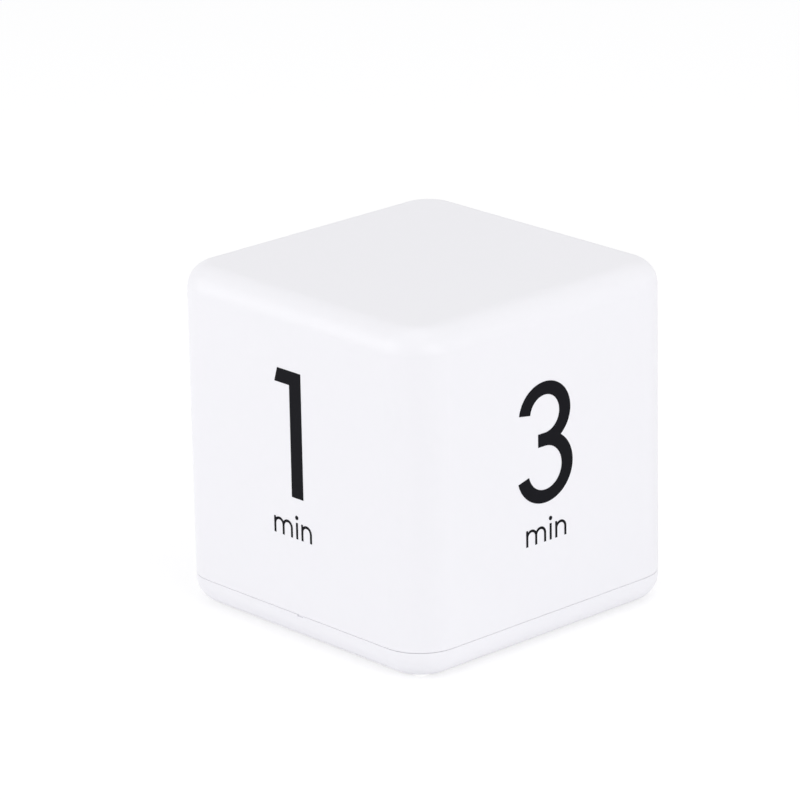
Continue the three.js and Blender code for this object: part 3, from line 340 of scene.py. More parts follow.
def prism(name, shapes, low, high):
    # upright solids: each shape is [outline], or [outline, hole] with as many points in both
    points, faces = [], []
    for shape in shapes:
        starts = []
        for line in shape:
            area = sum(a[0] * b[1] - b[0] * a[1] for a, b in zip(line, line[1:] + line[:1]))
            start, count = len(points), len(line)
            points += [(x, y, z) for z in (low, high) for x, y in (line if area > 0 else line[::-1])]
            for index in range(count):
                after = (index + 1) % count
                wall = [start + index, start + after, start + count + after, start + count + index]
                faces.append(wall[::-1] if starts else wall)
            starts.append(start)
        if len(starts) == 1:
            faces += [[start + index for index in reversed(range(count))],
                      [start + count + index for index in range(count)]]
            continue
        outer, inner = starts
        for index in range(count):
            after = (index + 1) % count
            floor = [outer + after, outer + index, inner + index, inner + after]
            faces += [floor, [place + count for place in reversed(floor)]]
    return meshPiece(name, points, faces)


def box(x, half, front, back, low, high):
    # half a width to each side of x
    corners = [(x - half, front), (x + half, front), (x + half, back), (x - half, back)]
    return prism("box", [[corners]], low, high)


leastStep = 0.0001  # points closer than this are one
leastCorner = 0.02
weldGap = 0.0005
edgeSteps = 4  # facets on a small rounded edge
overrun = 1  # how far a cutter runs past what it cuts


def turned(name, profile, steps):
    # profile points are (radius, height) from one end to the other, and both ends lie on the axis
    points, faces, rings = [], [], []
    for radius, height in profile:
        onAxis = radius < leastStep
        ring = [(0, 0, height)] if onAxis else [(x, y, height) for x, y in loop(0, 0, radius, radius, steps)]
        rings.append(range(len(points), len(points) + len(ring)))
        points += ring
    for pair in zip(rings, rings[1:]):
        for step in range(steps):
            low, high = [[ring[turn % len(ring)] for turn in (step, step + 1)] for ring in pair]
            faces.append(list(dict.fromkeys(low + high[::-1])))
    return meshPiece(name, points, faces)


def startShape(name, inputs):
    return startTree(name, "GeometryNodeTree", {**inputs, "Material": "Finish"}, {"Geometry": "Geometry"})


def endShape(tree, given, shape):
    real = feed(tree, "GeometryNodeRealizeInstances", {0: shape})
    finish = feed(tree, "GeometryNodeSetMaterial", {"Geometry": real, "Material": given["Finish"]})
    addNode(tree, "NodeGroupOutput", {0: finish})
    return tree


def makeSweepTree():
    # a rounded plan swept by an edge profile, closed flat at both ends
    tree, given = startShape("sweptOutline", {
        "Float": "Width, Depth, Corner Radius, Top, Bottom", "Int": "Corner Steps", "Vector": "Place",
        "Object": "Profile"})
    plan = feed(tree, "GeometryNodeCurvePrimitiveQuadrilateral", {
        "Width": given["Width"], "Height": given["Depth"]})
    rounded = feed(tree, "GeometryNodeFilletCurve", {
        "Curve": plan, "Count": given["Corner Steps"], "Radius": given["Corner Radius"]}, mode="POLY")
    upright = feed(tree, "GeometryNodeSetCurveNormal", {"Curve": rounded}, mode="Z_UP")
    profile = feed(tree, "GeometryNodeObjectInfo", {"Object": given["Profile"]}, "Geometry")
    sweep = feed(tree, "GeometryNodeCurveToMesh", {"Curve": upright, "Profile Curve": profile})
    join = addNode(tree, "GeometryNodeJoinGeometry", {0: sweep})
    for label in ("Top", "Bottom"):
        lift = feed(tree, "ShaderNodeCombineXYZ", {"Z": given[label]})
        fill = feed(tree, "GeometryNodeFillCurve", {"Curve": upright}, mode="NGONS")
        cap = feed(tree, "GeometryNodeTransform", {"Geometry": fill, "Translation": lift})
        if label == "Bottom":
            cap = feed(tree, "GeometryNodeFlipFaces", {0: cap})
        fillInputs(tree, join, {0: cap})
    weld = feed(tree, "GeometryNodeMergeByDistance", {0: join.outputs[0], "Distance": weldGap * mm})
    shift = feed(tree, "GeometryNodeTransform", {"Geometry": weld, "Translation": given["Place"]})
    return endShape(tree, given, shift)


sweepTree = makeSweepTree()


def swept(size, inset, profile, place=(0, 0), steps=8, name="swept", finish="white_plastic"):
    # size is half the width, half the depth and the corner radius, or the one radius of a round shape
    # profile runs from the top down as (outset, height), from and to a plan drawn in by the inset
    halfX, halfY, corner = size if isinstance(size, tuple) else (size, size, size)
    clean = profile[:1]
    for point in profile[1:]:
        if math.dist(point, clean[-1]) > leastStep:
            clean.append(point)
    curve = bpy.data.curves.new(name + "Profile", "CURVE")
    curve.dimensions = "3D"
    line = curve.splines.new("POLY")
    line.points.add(len(clean) - 1)
    for point, (outset, height) in zip(line.points, clean):
        point.co = (outset * mm, -height * mm, 0, 1)
    guide = newObject(name + "Profile", curve)
    piece = grow(name, sweepTree, finish, {
        "Width": 2 * (halfX - inset) * mm, "Depth": 2 * (halfY - inset) * mm,
        "Corner Radius": max(corner - inset, leastCorner) * mm, "Corner Steps": steps,
        "Top": clean[0][1] * mm, "Bottom": clean[-1][1] * mm,
        "Place": (place[0] * mm, place[1] * mm, 0.0), "Profile": guide})
    bpy.data.objects.remove(guide)
    return piece


def edgeProfile(reach, top, bottom, topEdge, bottomEdge, topSteps=edgeSteps, bottomSteps=edgeSteps):
    upper = arc(reach - topEdge, top - topEdge, topEdge, 90, 0, topSteps)
    lower = arc(reach - bottomEdge, bottom + bottomEdge, bottomEdge, 0, -90, bottomSteps)
    return [(0, top), *upper, *lower, (0, bottom)]


def block(size, top, bottom, topEdge=0.0, bottomEdge=0.0, **more):
    # a solid of that outermost size, with its top and bottom edges rounded
    edge = max(topEdge, bottomEdge)
    return swept(size, edge, edgeProfile(edge, top, bottom, topEdge, bottomEdge), **more)


def pocket(size, depth, rim, floorEdge=0.0, start=0.0, **more):
    # a cutter that sinks into the base from below: rounded floor, straight sides, flared rim
    floor = arc(0, depth - floorEdge, floorEdge, 90, 0, edgeSteps)
    flare = arc(floorEdge + rim, start + rim, rim, 180, 270, edgeSteps)
    profile = [(0, depth), *floor, *flare, (floorEdge + rim, start - overrun), (0, start - overrun)]
    return swept(size, floorEdge, profile, **more)


print("helpers: sweep tree ready")

# housing: shell over bottom cover
cube = {
    "half": 33.5, "uprightRadius": 8.4, "edgeRadius": 4.75, "wall": 2.2, "plate": 2.4, "coverTop": 5.6,
    "shellBottom": 5.7, "lip": 0.09, "beadInset": 0.19, "beadTop": 5.67, "beadCorner": 1.1, "seamRoot": 0.3,
    "tongueInset": 1.2, "tongueTop": 8.6, "rebateInset": 1.0, "rebateTop": 8.9, "insideCut": 60,
    "cornerSteps": 24, "filletSteps": 14, "lipSteps": 3,
}
screwPlaces = [(26.1, 26.1), (-26.1, 26.1), (-26.1, -26.1), (26.1, -26.1)]
posts = {
    "post": {"size": 2.5, "bottom": 6.3}, "pilot": {"size": 1.15, "top": 13.6, "bottom": 5.3},
    "rib": {"x": 3.2, "half": 3.2, "front": -0.6, "back": 0.6, "low": 9.2},
}
buzzerRing = {"size": 14.8, "bottom": 62.8, "bottomEdge": 0.2, "steps": 16}
buzzerSeat = [{"size": 12.4, "top": 64.8, "bottom": 61.8, "steps": 16},
              {"size": 13.8, "top": 63.8, "bottom": 61.8, "steps": 16}]


def outlineBlock(inset, top, bottom, topEdge=0.0, bottomEdge=0.0, cornerMore=0.0, **more):
    # the cube's own outline drawn in evenly, and an end whose edge is None keeps the cube's big fillet
    fillet, half = cube["edgeRadius"] - inset, cube["half"] - inset
    edges = [fillet if edge is None else edge for edge in (topEdge, bottomEdge)]
    steps = [cube["filletSteps" if edge is None else "lipSteps"] for edge in (topEdge, bottomEdge)]
    return swept((half, half, cube["uprightRadius"] - inset + cornerMore), fillet,
                 edgeProfile(fillet, top, bottom, *edges, *steps), steps=cube["cornerSteps"], **more)


def makeMainShell():
    height, middle = 2 * cube["half"], cube["wall"] / 2
    ceiling = height - cube["wall"]
    top = ceiling + middle  # posts, ribs and the buzzer's ring end in the middle of the wall
    shell = outlineBlock(0, height, cube["shellBottom"], None, cube["lip"], name="mainShell")
    cut(shell, [outlineBlock(cube["wall"], ceiling, cube["plate"], None, None),
                outlineBlock(cube["rebateInset"], cube["rebateTop"], cube["shellBottom"] - overrun)])
    for x, y in screwPlaces:
        post = block(**posts["post"], top=top, place=(x, y))
        rib = box(**posts["rib"], high=top)
        turn = Matrix.Rotation(math.atan2(y, x), 4, "Z")
        rib.data.transform(Matrix.Translation((x * mm, y * mm, 0)) @ turn)
        fuse(post, [rib])
        combine(post, "INTERSECT", [outlineBlock(middle, height - middle, middle, None, None)])
        fuse(shell, [post])
        cut(shell, [block(**posts["pilot"], place=(x, y))])
    ring = block(**buzzerRing, top=top)
    cut(ring, [block(**hole) for hole in buzzerSeat])
    fuse(shell, [ring])
    dress(settle(shell), "white_plastic", "main_shell")


bay = {"half": 24.8, "front": -22.2, "back": -0.3, "roof": 13.1, "top": 14.2, "wall": 1.1}
knobGuide = {"half": 6.6, "front": 7.5, "back": 12.5, "top": 8.2, "wall": 0.6}
recesses = {  # sunk into the base from below
    "doorLedge": {"size": (25.4, 11.55, 0.9), "depth": 2.0, "rim": 0.22, "place": (0, -11.25)},
    "fingerScoop": {"size": 5.0, "depth": 1.0, "rim": 0.35, "floorEdge": 0.7, "place": (0, -21.3),
                    "steps": 16},
    "displaySeat": {"size": (13.0, 6.0, 0.7), "depth": 1.2, "rim": 0.2, "place": (0, 20.6)},
    "knobRecess": {"size": (5.2, 2.2, 1.1), "depth": 1.0, "rim": 0.25, "floorEdge": 0.3, "place": (0, 10.4)},
}
throughHoles = {
    "displayWindow": {"size": (11.5, 4.5, 0.5), "top": 4, "bottom": -1, "place": (0, 20.6)},
    "knobSlot": {"size": (4.1, 1.65, 0.4), "top": 4, "bottom": -1, "place": (0, 10.4)},
}
slots = {  # the first two take the door's tabs, and the next two the contact plates' tabs
    "leftHinge": {"x": -15, "half": 3.3, "front": -1.3, "back": 1.5, "low": 1.05, "high": 2.6},
    "rightHinge": {"x": 15, "half": 3.3, "front": -1.3, "back": 1.5, "low": 1.05, "high": 2.6},
    "frontContact": {"x": 24.4, "half": 0.4, "front": -18.05, "back": -15.25, "low": 12.1, "high": 15.2},
    "backContact": {"x": 24.4, "half": 0.4, "front": -7.25, "back": -4.45, "low": 12.1, "high": 15.2},
    "rimNotch": {"x": 1.2, "half": 0.8, "front": -34.5, "back": -33.2, "low": 5.3, "high": 7},
}
boardPlaces = [(-16.9, 9.7), (-16.9, 26.8), (16.9, 9.7), (16.9, 26.8)]
screwSeat = {
    "boss": {"size": 3.3, "top": 6.0}, "shank": {"size": 1.3, "top": 7.0, "bottom": 1},
    "head": {"size": 2.4, "depth": 2.6, "rim": 0.22, "steps": 12},
}
boardSeat = {"boss": {"size": 1.7, "top": 8.4}, "pilot": {"size": 0.95, "top": 10, "bottom": 4.7}}
words = {"places": {"ON": (8.2, 10.4), "OFF": (-9.0, 10.4)}, "height": 2.1, "stroke": 0.34, "spacing": 0.65,
         "low": -0.5, "depth": 0.2, "paintLow": 0.12, "paintHigh": 0.22}
letters = {  # a letter's width, and its strokes on a height of 1
    "O": (0.8, [loop(0.4, 0.5, 0.4, 0.5, 18)]),
    "N": (0.72, [[(0, 0), (0, 1)], [(0, 1), (0.72, 0)], [(0.72, 0), (0.72, 1)]]),
    "F": (0.6, [[(0, 0), (0, 1)], [(0, 1), (0.6, 1)], [(0, 0.52), (0.5, 0.52)]]),
}


def wordSolids(low, high):
    # letters that read from below with the display's top edge up, so they run towards -X
    scale, solids = words["height"], []
    for text, (x, y) in words["places"].items():
        x += (scale * sum(letters[letter][0] for letter in text) + words["spacing"] * (len(text) - 1)) / 2
        for width, strokes in (letters[letter] for letter in text):
            for stroke in strokes:
                points = [(x - px * scale, y - scale / 2 + py * scale) for px, py in stroke]
                closed = len(points) > 2
                if not closed:
                    start, end = Vector(points[0]), Vector(points[1])
                    way = (end - start).normalized() * words["stroke"] / 2
                    points = [tuple(start - way), tuple(end + way)]
                solids.append(prism("letter", [penShape(points, words["stroke"], closed=closed)], low, high))
            x -= width * scale + words["spacing"]
    return solids


def makeBottomCover():
    top, plate, wall = pick(cube, "coverTop plate wall")
    middle, root = plate / 2, top - cube["seamRoot"]  # walls and bosses start in the middle of the plate
    cover = outlineBlock(0, top, 0, cube["lip"], None, name="bottomCover")
    cut(cover, [outlineBlock(wall, cube["insideCut"], plate, 0.0, None)])
    tongue = outlineBlock(cube["tongueInset"], cube["tongueTop"], root)
    fuse(tongue, [outlineBlock(cube["beadInset"], cube["beadTop"], root, cornerMore=cube["beadCorner"])])
    cut(tongue, [outlineBlock(wall, cube["tongueTop"] + overrun, top - overrun)])
    half, front, back, high, wall = pick(knobGuide, "half front back top wall")
    guide = box(0, half + wall, front, back, middle, high)
    cut(guide, [box(0, half, front + wall, back + overrun, plate, high + overrun)])
    half, front, back, high, wall = pick(bay, "half front back top wall")
    bosses = [block(**screwSeat["boss"], bottom=middle, place=place) for place in screwPlaces]
    bosses += [block(**boardSeat["boss"], bottom=middle, place=place) for place in boardPlaces]
    fuse(cover, [tongue, box(0, half + wall, front - wall, back + wall, middle, high), *bosses, guide])

    cuts = [box(0, half, front, back, -overrun, bay["roof"])]
    cuts += [pocket(**recess) for recess in recesses.values()]
    cuts += [block(**hole) for hole in throughHoles.values()]
    cuts += [box(**slot) for slot in slots.values()]
    for place in screwPlaces:
        cuts += [pocket(**screwSeat["head"], place=place), block(**screwSeat["shank"], place=place)]
    cuts += [block(**boardSeat["pilot"], place=place) for place in boardPlaces]
    cut(cover, cuts + wordSolids(words["low"], words["depth"]))
    dress(settle(cover), "white_plastic", "bottom_cover")


def makeSwitchWords():
    # paint in the sunk letters, which stays clear of the table
    printInk("switchWords", wordSolids(words["paintLow"], words["paintHigh"]))


makeMainShell()
makeBottomCover()
makeSwitchWords()
print("housing: shell, cover and switch words")


def tube(tree, path, given, radius, **more):
    # a round bar along a path, closed at both ends
    outline = feed(tree, "GeometryNodeCurvePrimitiveCircle", {
        "Resolution": given["Sides"], "Radius": given[radius]})
    return feed(tree, "GeometryNodeCurveToMesh", {
        "Curve": path, "Profile Curve": outline, "Fill Caps": True, **more})


# rows of ridges, for the door's grip and the knob
ridge = {"sides": 20, "points": 17, "bluntness": 16.0, "leastScale": 0.25}


def makeRidgeTree():
    tree, given = startShape("ridgeRow", {
        "Int": "Count, Sides", "Vector": "Pitch, Start, Half Way", "Float": "Ridge Radius"})
    row = feed(tree, "GeometryNodeMeshLine", {
        "Count": given["Count"], "Start Location": given["Start"], "Offset": given["Pitch"]}, mode="OFFSET")
    back = feed(tree, "ShaderNodeVectorMath", {0: given["Half Way"], "Scale": -1.0}, operation="SCALE")
    bar = feed(tree, "GeometryNodeCurvePrimitiveLine", {"Start": back, "End": given["Half Way"]})
    fine = feed(tree, "GeometryNodeResampleCurve", {"Curve": bar, "Count": ridge["points"]})
    # round both ends of the bar by shrinking its radius there
    along = feed(tree, "GeometryNodeSplineParameter", output="Factor")
    fromMiddle = mathNode(tree, "ABSOLUTE", mathNode(tree, "MULTIPLY_ADD", along, 2.0, -1.0))
    fall = mathNode(tree, "POWER", fromMiddle, ridge["bluntness"])
    shrink = mathNode(tree, "SQRT", mathNode(tree, "SUBTRACT", 1.0, fall))
    scale = mathNode(tree, "MAXIMUM", shrink, ridge["leastScale"])
    solid = tube(tree, fine, given, "Ridge Radius", Scale=scale)
    bars = feed(tree, "GeometryNodeInstanceOnPoints", {"Points": row, "Instance": solid})
    return endShape(tree, given, bars)


ridgeTree = makeRidgeTree()


def makeRidges(count, start, pitch, halfWay, radius, finish):
    values = {"Count": count, "Ridge Radius": radius * mm, "Sides": ridge["sides"]}
    for label, place in (("Start", start), ("Pitch", pitch), ("Half Way", halfWay)):
        values[label] = tuple(value * mm for value in place)
    return grow("ridges", ridgeTree, finish, values)


# battery door
door = {
    "plate": {"size": (25.1, 11.25, 0.7), "top": 1.9, "bottom": 0.3, "topEdge": 0.12, "bottomEdge": 0.28,
              "place": (0, -11.25)},
    "pad": {"size": (5.6, 3.7, 1.4), "depth": 0.9, "rim": 0.18, "floorEdge": 0.25, "start": 0.3,
            "place": (0, -16.2)},
    "grip": {"count": 5, "start": (0, -18.9, 0.85), "pitch": (0, 1.35, 0), "halfWay": (4.6, 0, 0),
             "radius": 0.4},
    "arrow": [(-2.4, -10.4), (2.4, -10.4), (0, -7.4)], "arrowTop": 0.8,
}
doorBoxes = {
    "leftTab": {"x": -15, "half": 3.0, "front": -1.2, "back": 1.2, "low": 1.2, "high": 1.9},
    "rightTab": {"x": 15, "half": 3.0, "front": -1.2, "back": 1.2, "low": 1.2, "high": 1.9},
    "latch": {"x": 0, "half": 5.0, "front": -21.5, "back": -20.7, "low": 1.4, "high": 3.7},
    "nib": {"x": 0, "half": 5.0, "front": -21.75, "back": -21.1, "low": 3.1, "high": 3.7},
}


def makeBatteryDoor():
    plate = block(**door["plate"], name="batteryDoor")
    fuse(plate, [box(**sizes) for sizes in doorBoxes.values()])
    cut(plate, [prism("arrow", [[door["arrow"]]], -overrun, door["arrowTop"]), pocket(**door["pad"])])
    fuse(plate, [makeRidges(**door["grip"], finish="white_plastic")])
    dress(settle(plate), "white_plastic", "battery_door")


# display: lens, and the faint unlit figures on the glass
lens = {"size": (12.8, 5.8, 0.6), "top": 1.2, "bottom": 0.3, "topEdge": 0.1, "bottomEdge": 0.18,
        "place": (0, 20.6)}
figures = {"height": 6.6, "width": 3.5, "pitch": 4.75, "colonGap": 1.9, "bar": 0.62, "slant": 0.1,
           "gap": 0.09, "dotRadius": 0.38, "dotShares": (0.3, 0.7), "dotSteps": 12, "y": 20.6,
           "low": 2.36, "high": 2.39}


def makeLens():
    plate = block(**lens, name="displayLens", finish="clear_plastic")
    dress(settle(plate), "clear_plastic", "display_lens")


def barLine(x0, y0, x1, y1):
    # one display bar: a long hexagon between two places
    way = Vector((x1 - x0, y1 - y0)).normalized()
    half = way * figures["bar"] / 2
    side = Vector((-way.y, way.x)) * figures["bar"] / 2
    start = Vector((x0, y0)) + way * figures["gap"]
    end = Vector((x1, y1)) - way * figures["gap"]
    return [start, start + half + side, end - half + side, end, end - half - side, start + half - side]


def makeFigures():
    high, wide, pitch, gap, dot = pick(figures, "height width pitch colonGap dotRadius")
    middle = high / 2
    bars = [(0, high, wide, high), (0, middle, wide, middle), (0, 0, wide, 0), (0, 0, 0, middle),
            (0, middle, 0, high), (wide, 0, wide, middle), (wide, middle, wide, high)]
    starts = [0, pitch, 2 * pitch + gap, 3 * pitch + gap]
    lines = [[(x + start, y) for x, y in barLine(*bar)] for start in starts for bar in bars]
    colonX = 2 * pitch - (pitch - wide) / 2 + gap / 2
    lines += [loop(colonX, high * share, dot, dot, figures["dotSteps"]) for share in figures["dotShares"]]
    # the row reads from below, so it runs towards -X
    right = (starts[-1] + wide) / 2
    shapes = [[[(right - x - (y - middle) * figures["slant"], figures["y"] + y - middle) for x, y in line]]
              for line in lines]
    piece = prism("displayFigures", shapes, figures["low"], figures["high"])
    piece.data.materials.append(materials["figure_shade"])
    dress(piece, "display_glass")


# power switch knob
knobParts = {
    "body": {"size": (2.8, 1.5, 0.5), "top": 2.75, "bottom": 0.77, "bottomEdge": 0.16},
    "flange": {"size": (5.3, 2.0, 0.3), "top": 3.35, "bottom": 2.55},
    "hub": {"size": (1.9, 1.8, 0.3), "top": 4.8, "bottom": 2.65},
    "socket": {"size": (1.1, 1.0, 0.1), "top": 5.8, "bottom": 3.35},
}
knobPlace = (-1.0, 10.4)
knobRibs = {"count": 5, "start": (-3.15, 10.4, 0.86), "pitch": (1.075, 0, 0), "halfWay": (0, 1.28, 0),
            "radius": 0.36}


def makeKnob():
    body, flange, hub, socket = [block(**part, place=knobPlace, name="switchKnob", finish="knob_plastic")
                                 for part in knobParts.values()]
    fuse(body, [flange, hub, makeRidges(**knobRibs, finish="knob_plastic")])
    cut(body, [socket])
    dress(settle(body), "knob_plastic", "switch_knob")


makeBatteryDoor()
makeLens()
makeFigures()
makeKnob()
print("base: door, display and switch knob")

# screws: one finished screw set on its places
coverScrew = {"shank": 1.0, "length": 10.0, "tip": 1.4, "tipInset": 0.1, "head": 2.1, "headHeight": 1.5,
              "dome": 0.45, "domeSteps": 9, "low": 1.1, "slotReach": 1.3, "slotHalf": 0.27, "slotDepth": 0.85,
              "steps": 40, "mostTurn": 1.5, "seed": 4}
thread = {"depth": 0.16, "pitch": 0.9, "start": 0.4, "crest": (0.4, 0.5), "step": 0.9}


def makeSetTree():
    # a shape set on every point of a mesh, each turned by its own fixed amount
    tree, given = startShape("setOnPlaces", {"Object": "Places, Shape", "Float": "Most Turn", "Int": "Seed"})
    places, shape = [feed(tree, "GeometryNodeObjectInfo", {"Object": given[label]}, "Geometry")
                     for label in ("Places", "Shape")]
    # of a random float, input 3 is the greatest value and output 1 the result
    turn = feed(tree, "FunctionNodeRandomValue", {
        3: given["Most Turn"], "Seed": given["Seed"]}, 1, data_type="FLOAT")
    about = feed(tree, "ShaderNodeCombineXYZ", {"Z": turn})
    return endShape(tree, given, feed(tree, "GeometryNodeInstanceOnPoints", {
        "Points": places, "Instance": shape, "Rotation": about}))


def makeCoverScrews():
    head, low, shank, dome = pick(coverScrew, "head low shank dome")
    top, pitch = low + coverScrew["headHeight"], thread["pitch"]
    end = top + coverScrew["length"]
    tipTop = end - coverScrew["tip"]
    profile = ellipse(0, low + dome, head, dome, -90, 0, coverScrew["domeSteps"])
    profile += [(head, top), (shank, top)]
    height = top + thread["start"]
    while height + pitch < tipTop:
        profile.append((shank - thread["depth"], height))
        profile += [(shank, height + pitch * share) for share in thread["crest"]]
        height += pitch * thread["step"]
    profile += [(shank - coverScrew["tipInset"], tipTop), (0, end)]
    screw = turned("screw", profile, coverScrew["steps"])
    screw.data.materials.append(materials["steel"])
    reach, half = coverScrew["slotReach"], coverScrew["slotHalf"]
    cut(screw, [box(0, x, -y, y, low - overrun, low + coverScrew["slotDepth"])
                for x, y in ((reach, half), (half, reach))])
    settle(screw)
    places = meshPiece("screwPlaces", [(x, y, 0) for x, y in screwPlaces], [])
    piece = grow("coverScrews", makeSetTree(), "steel", {
        "Places": places, "Shape": screw, "Most Turn": coverScrew["mostTurn"], "Seed": coverScrew["seed"]})
    for spare in (screw, places):
        bpy.data.objects.remove(spare)
    dress(settle(piece), "steel", *("cover_screw_%d" % number for number in (1, 2, 3, 4)))


# battery: cells and the two wound springs
cell = {
    "z": 7.55, "shift": 1.75, "y": (-16.65, -5.85), "radius": 5.25, "edge": 0.55, "edgeSteps": 6, "steps": 48,
    # metal ends as (radius, place along the cell), then the nub
    "foot": [(0, -22.13), (3.75, -22.13), (3.9, -22.25), (4.35, -22.25)],
    "top": [(4.35, 21.15), (4.25, 20.97), (2.4, 20.97), (1.9, 21.25)], "nubEnd": 22.25, "nubEdge": 0.3,
}
spring = {"wire": 0.3, "wide": 4.0, "narrow": 2.2, "span": 3.8, "endGap": 0.1, "curls": 3.0,
          "plateFace": 24.3, "z": 7.55, "steps": 40, "sides": 12}


def makeCell(name, y, facing, replaced):
    foot, top, edge, nubEdge, end = pick(cell, "foot top edge nubEdge nubEnd")
    out = cell["radius"] - edge
    sleeve = arc(out, foot[-1][1] + edge, edge, -90, 0, cell["edgeSteps"])
    sleeve += arc(out, top[0][1] - edge, edge, 0, 90, cell["edgeSteps"])
    nub = arc(top[-1][0] - nubEdge, end - nubEdge, nubEdge, 0, 90, edgeSteps) + [(0, end)]
    piece = turned(name, foot + sleeve + top + nub, cell["steps"])
    lying = Matrix(((0, 0, 1, 0), (1, 0, 0, 0), (0, 1, 0, 0), (0, 0, 0, 1)))
    facingWay = Matrix.Rotation(0 if facing > 0 else math.pi, 4, "Z")
    place = Matrix.Translation((facing * cell["shift"] * mm, y * mm, cell["z"] * mm))
    piece.data.transform(place @ facingWay @ lying)
    for finish in ("cell_sleeve", "steel"):
        piece.data.materials.append(materials[finish])
    for index, polygon in enumerate(piece.data.polygons):
        onSleeve = len(foot) - 1 <= index // cell["steps"] <= len(foot) + len(sleeve) - 1
        polygon.material_index = 0 if onSleeve else 1
    dress(settle(piece), "cell_sleeve", replaced)


def makeSpringTree():
    tree, given = startShape("woundWire", {
        "Float": "Wide Radius, Narrow Radius, Rise, Curls, Wire Radius", "Int": "Steps, Sides",
        "Vector": "Place", "Rotation": "Turn"})
    spiral = feed(tree, "GeometryNodeCurveSpiral", {
        "Resolution": given["Steps"], "Rotations": given["Curls"], "Start Radius": given["Wide Radius"],
        "End Radius": given["Narrow Radius"], "Height": given["Rise"]})
    return endShape(tree, given, feed(tree, "GeometryNodeTransform", {
        "Geometry": tube(tree, spiral, given, "Wire Radius"), "Translation": given["Place"],
        "Rotation": given["Turn"]}))


springTree = makeSpringTree()


def makeSpring(name, side, y, replaced):
    wire, wide, narrow, curls, steps, sides = pick(spring, "wire wide narrow curls steps sides")
    start = spring["endGap"] + wire
    piece = grow(name, springTree, "steel", {
        "Wide Radius": wide * mm, "Narrow Radius": narrow * mm, "Rise": (spring["span"] - 2 * start) * mm,
        "Curls": curls, "Wire Radius": wire * mm, "Steps": steps, "Sides": sides,
        "Place": (side * (spring["plateFace"] - start) * mm, y * mm, spring["z"] * mm),
        "Turn": (0.0, math.radians(-90 * side), 0.0)})
    dress(settle(piece), "steel", replaced)


makeCoverScrews()
makeCell("batteryCell1", cell["y"][0], 1, "battery_cell_1")
makeCell("batteryCell2", cell["y"][1], -1, "battery_cell_2")
makeSpring("springBridge", -1, cell["y"][0], "spring_bridge")
makeSpring("springNegative", 1, cell["y"][1], "spring_negative")
print("metal: cover screws, cells and springs")

# printed numerals and the small word under each
ink = {"thickness": 0.05, "sink": 0.02, "face": 33.5}
one = {"base": 28.75, "height": 24.5, "stem": 3.15, "stemRight": 2.95, "flagReach": 3.2, "flagHeight": 2.75,
       "flagSlant": 0.85}
three = {"base": 27.75, "height": 23.5, "width": 13.9, "shift": -1.15, "stroke": 2.55, "broaden": 1.12,
         "waist": 0.524, "upperWidth": 0.927, "bar": 0.125, "upperStart": 172, "lowerEnd": -166, "steps": 64}
five = {"width": 13.6, "bowl": 0.62, "stemTop": 0.24, "stemFoot": 0.34, "bar": 0.42, "topSink": 0.22,
        "bowlStart": 138, "bowlEnd": -158}
ten = {"zeroWidth": 15, "spacing": 2.6, "steps": 120}
minute = {"base": (20.7, 20.15, 20.3, 20.3), "centre": (-0.15, -1.0, -1.0, 0), "xHeight": 3.2, "stroke": 0.5,
          "mWidth": 5.1, "nWidth": 2.85, "gap": 0.95, "dotRadius": 0.42, "dotRise": 1.0, "dotSteps": 24,
          "stemShare": 0.9, "joinShare": 0.5, "archSteps": 24, "innerSteps": 20}


def inkOn(side, shapes, shift, base):
    # shapes drawn upright as thin solids on one side face, numbered anticlockwise from the front
    shapes = [[[(x + shift, y + base) for x, y in line] for line in shape] for shape in shapes]
    piece = prism("ink", shapes, ink["face"] - ink["sink"], ink["face"] + ink["thickness"])
    upright = Matrix(((1, 0, 0, 0), (0, 0, -1, 0), (0, 1, 0, 0), (0, 0, 0, 1)))
    piece.data.transform(Matrix.Rotation(side * math.pi / 2, 4, "Z") @ upright)
    return piece


def oneShape():
    right, top, low = one["stemRight"], one["height"], one["height"] - one["flagHeight"]
    left = right - one["stem"]
    tip = left - one["flagReach"]
    return [[(left, 0), (right, 0), (right, top), (tip, top), (tip - one["flagSlant"], low), (left, low)]]


def pen(points):
    return penShape(points, three["stroke"], three["broaden"])


def threeShapes():
    inset, waist, width = three["stroke"] / 2, three["height"] * three["waist"], three["width"]
    bar = (-width * three["bar"], waist)
    upperX, upperY = width * three["upperWidth"] / 2 - inset, (three["height"] - inset - waist) / 2
    lowerX, lowerY = width / 2 - inset, (waist - inset) / 2
    upper = ellipse(0, waist + upperY, upperX, upperY, three["upperStart"], -90, three["steps"])
    lower = ellipse(0, waist - lowerY, lowerX, lowerY, 90, three["lowerEnd"], three["steps"])
    return [pen(upper + [bar]), pen([bar] + lower)]


def fiveShapes():
    stroke, width, high = three["stroke"], five["width"], three["height"]
    inset = stroke / 2
    radiusX, radiusY = width / 2 - inset, (high * five["bowl"] - stroke) / 2
    bowl = ellipse(0, radiusY + inset, radiusX, radiusY, five["bowlStart"], five["bowlEnd"], three["steps"])
    topX, topY = -width * five["stemTop"], high - inset
    footX, footY = -width * five["stemFoot"], bowl[0][1]
    lean, rise = (topX - footX) / (topY - footY), inset - five["topSink"]
    return [pen(bowl), pen([(topX + rise * lean, topY + rise), (footX, footY)]),
            pen([(topX - inset, topY), (width * five["bar"], topY)])]


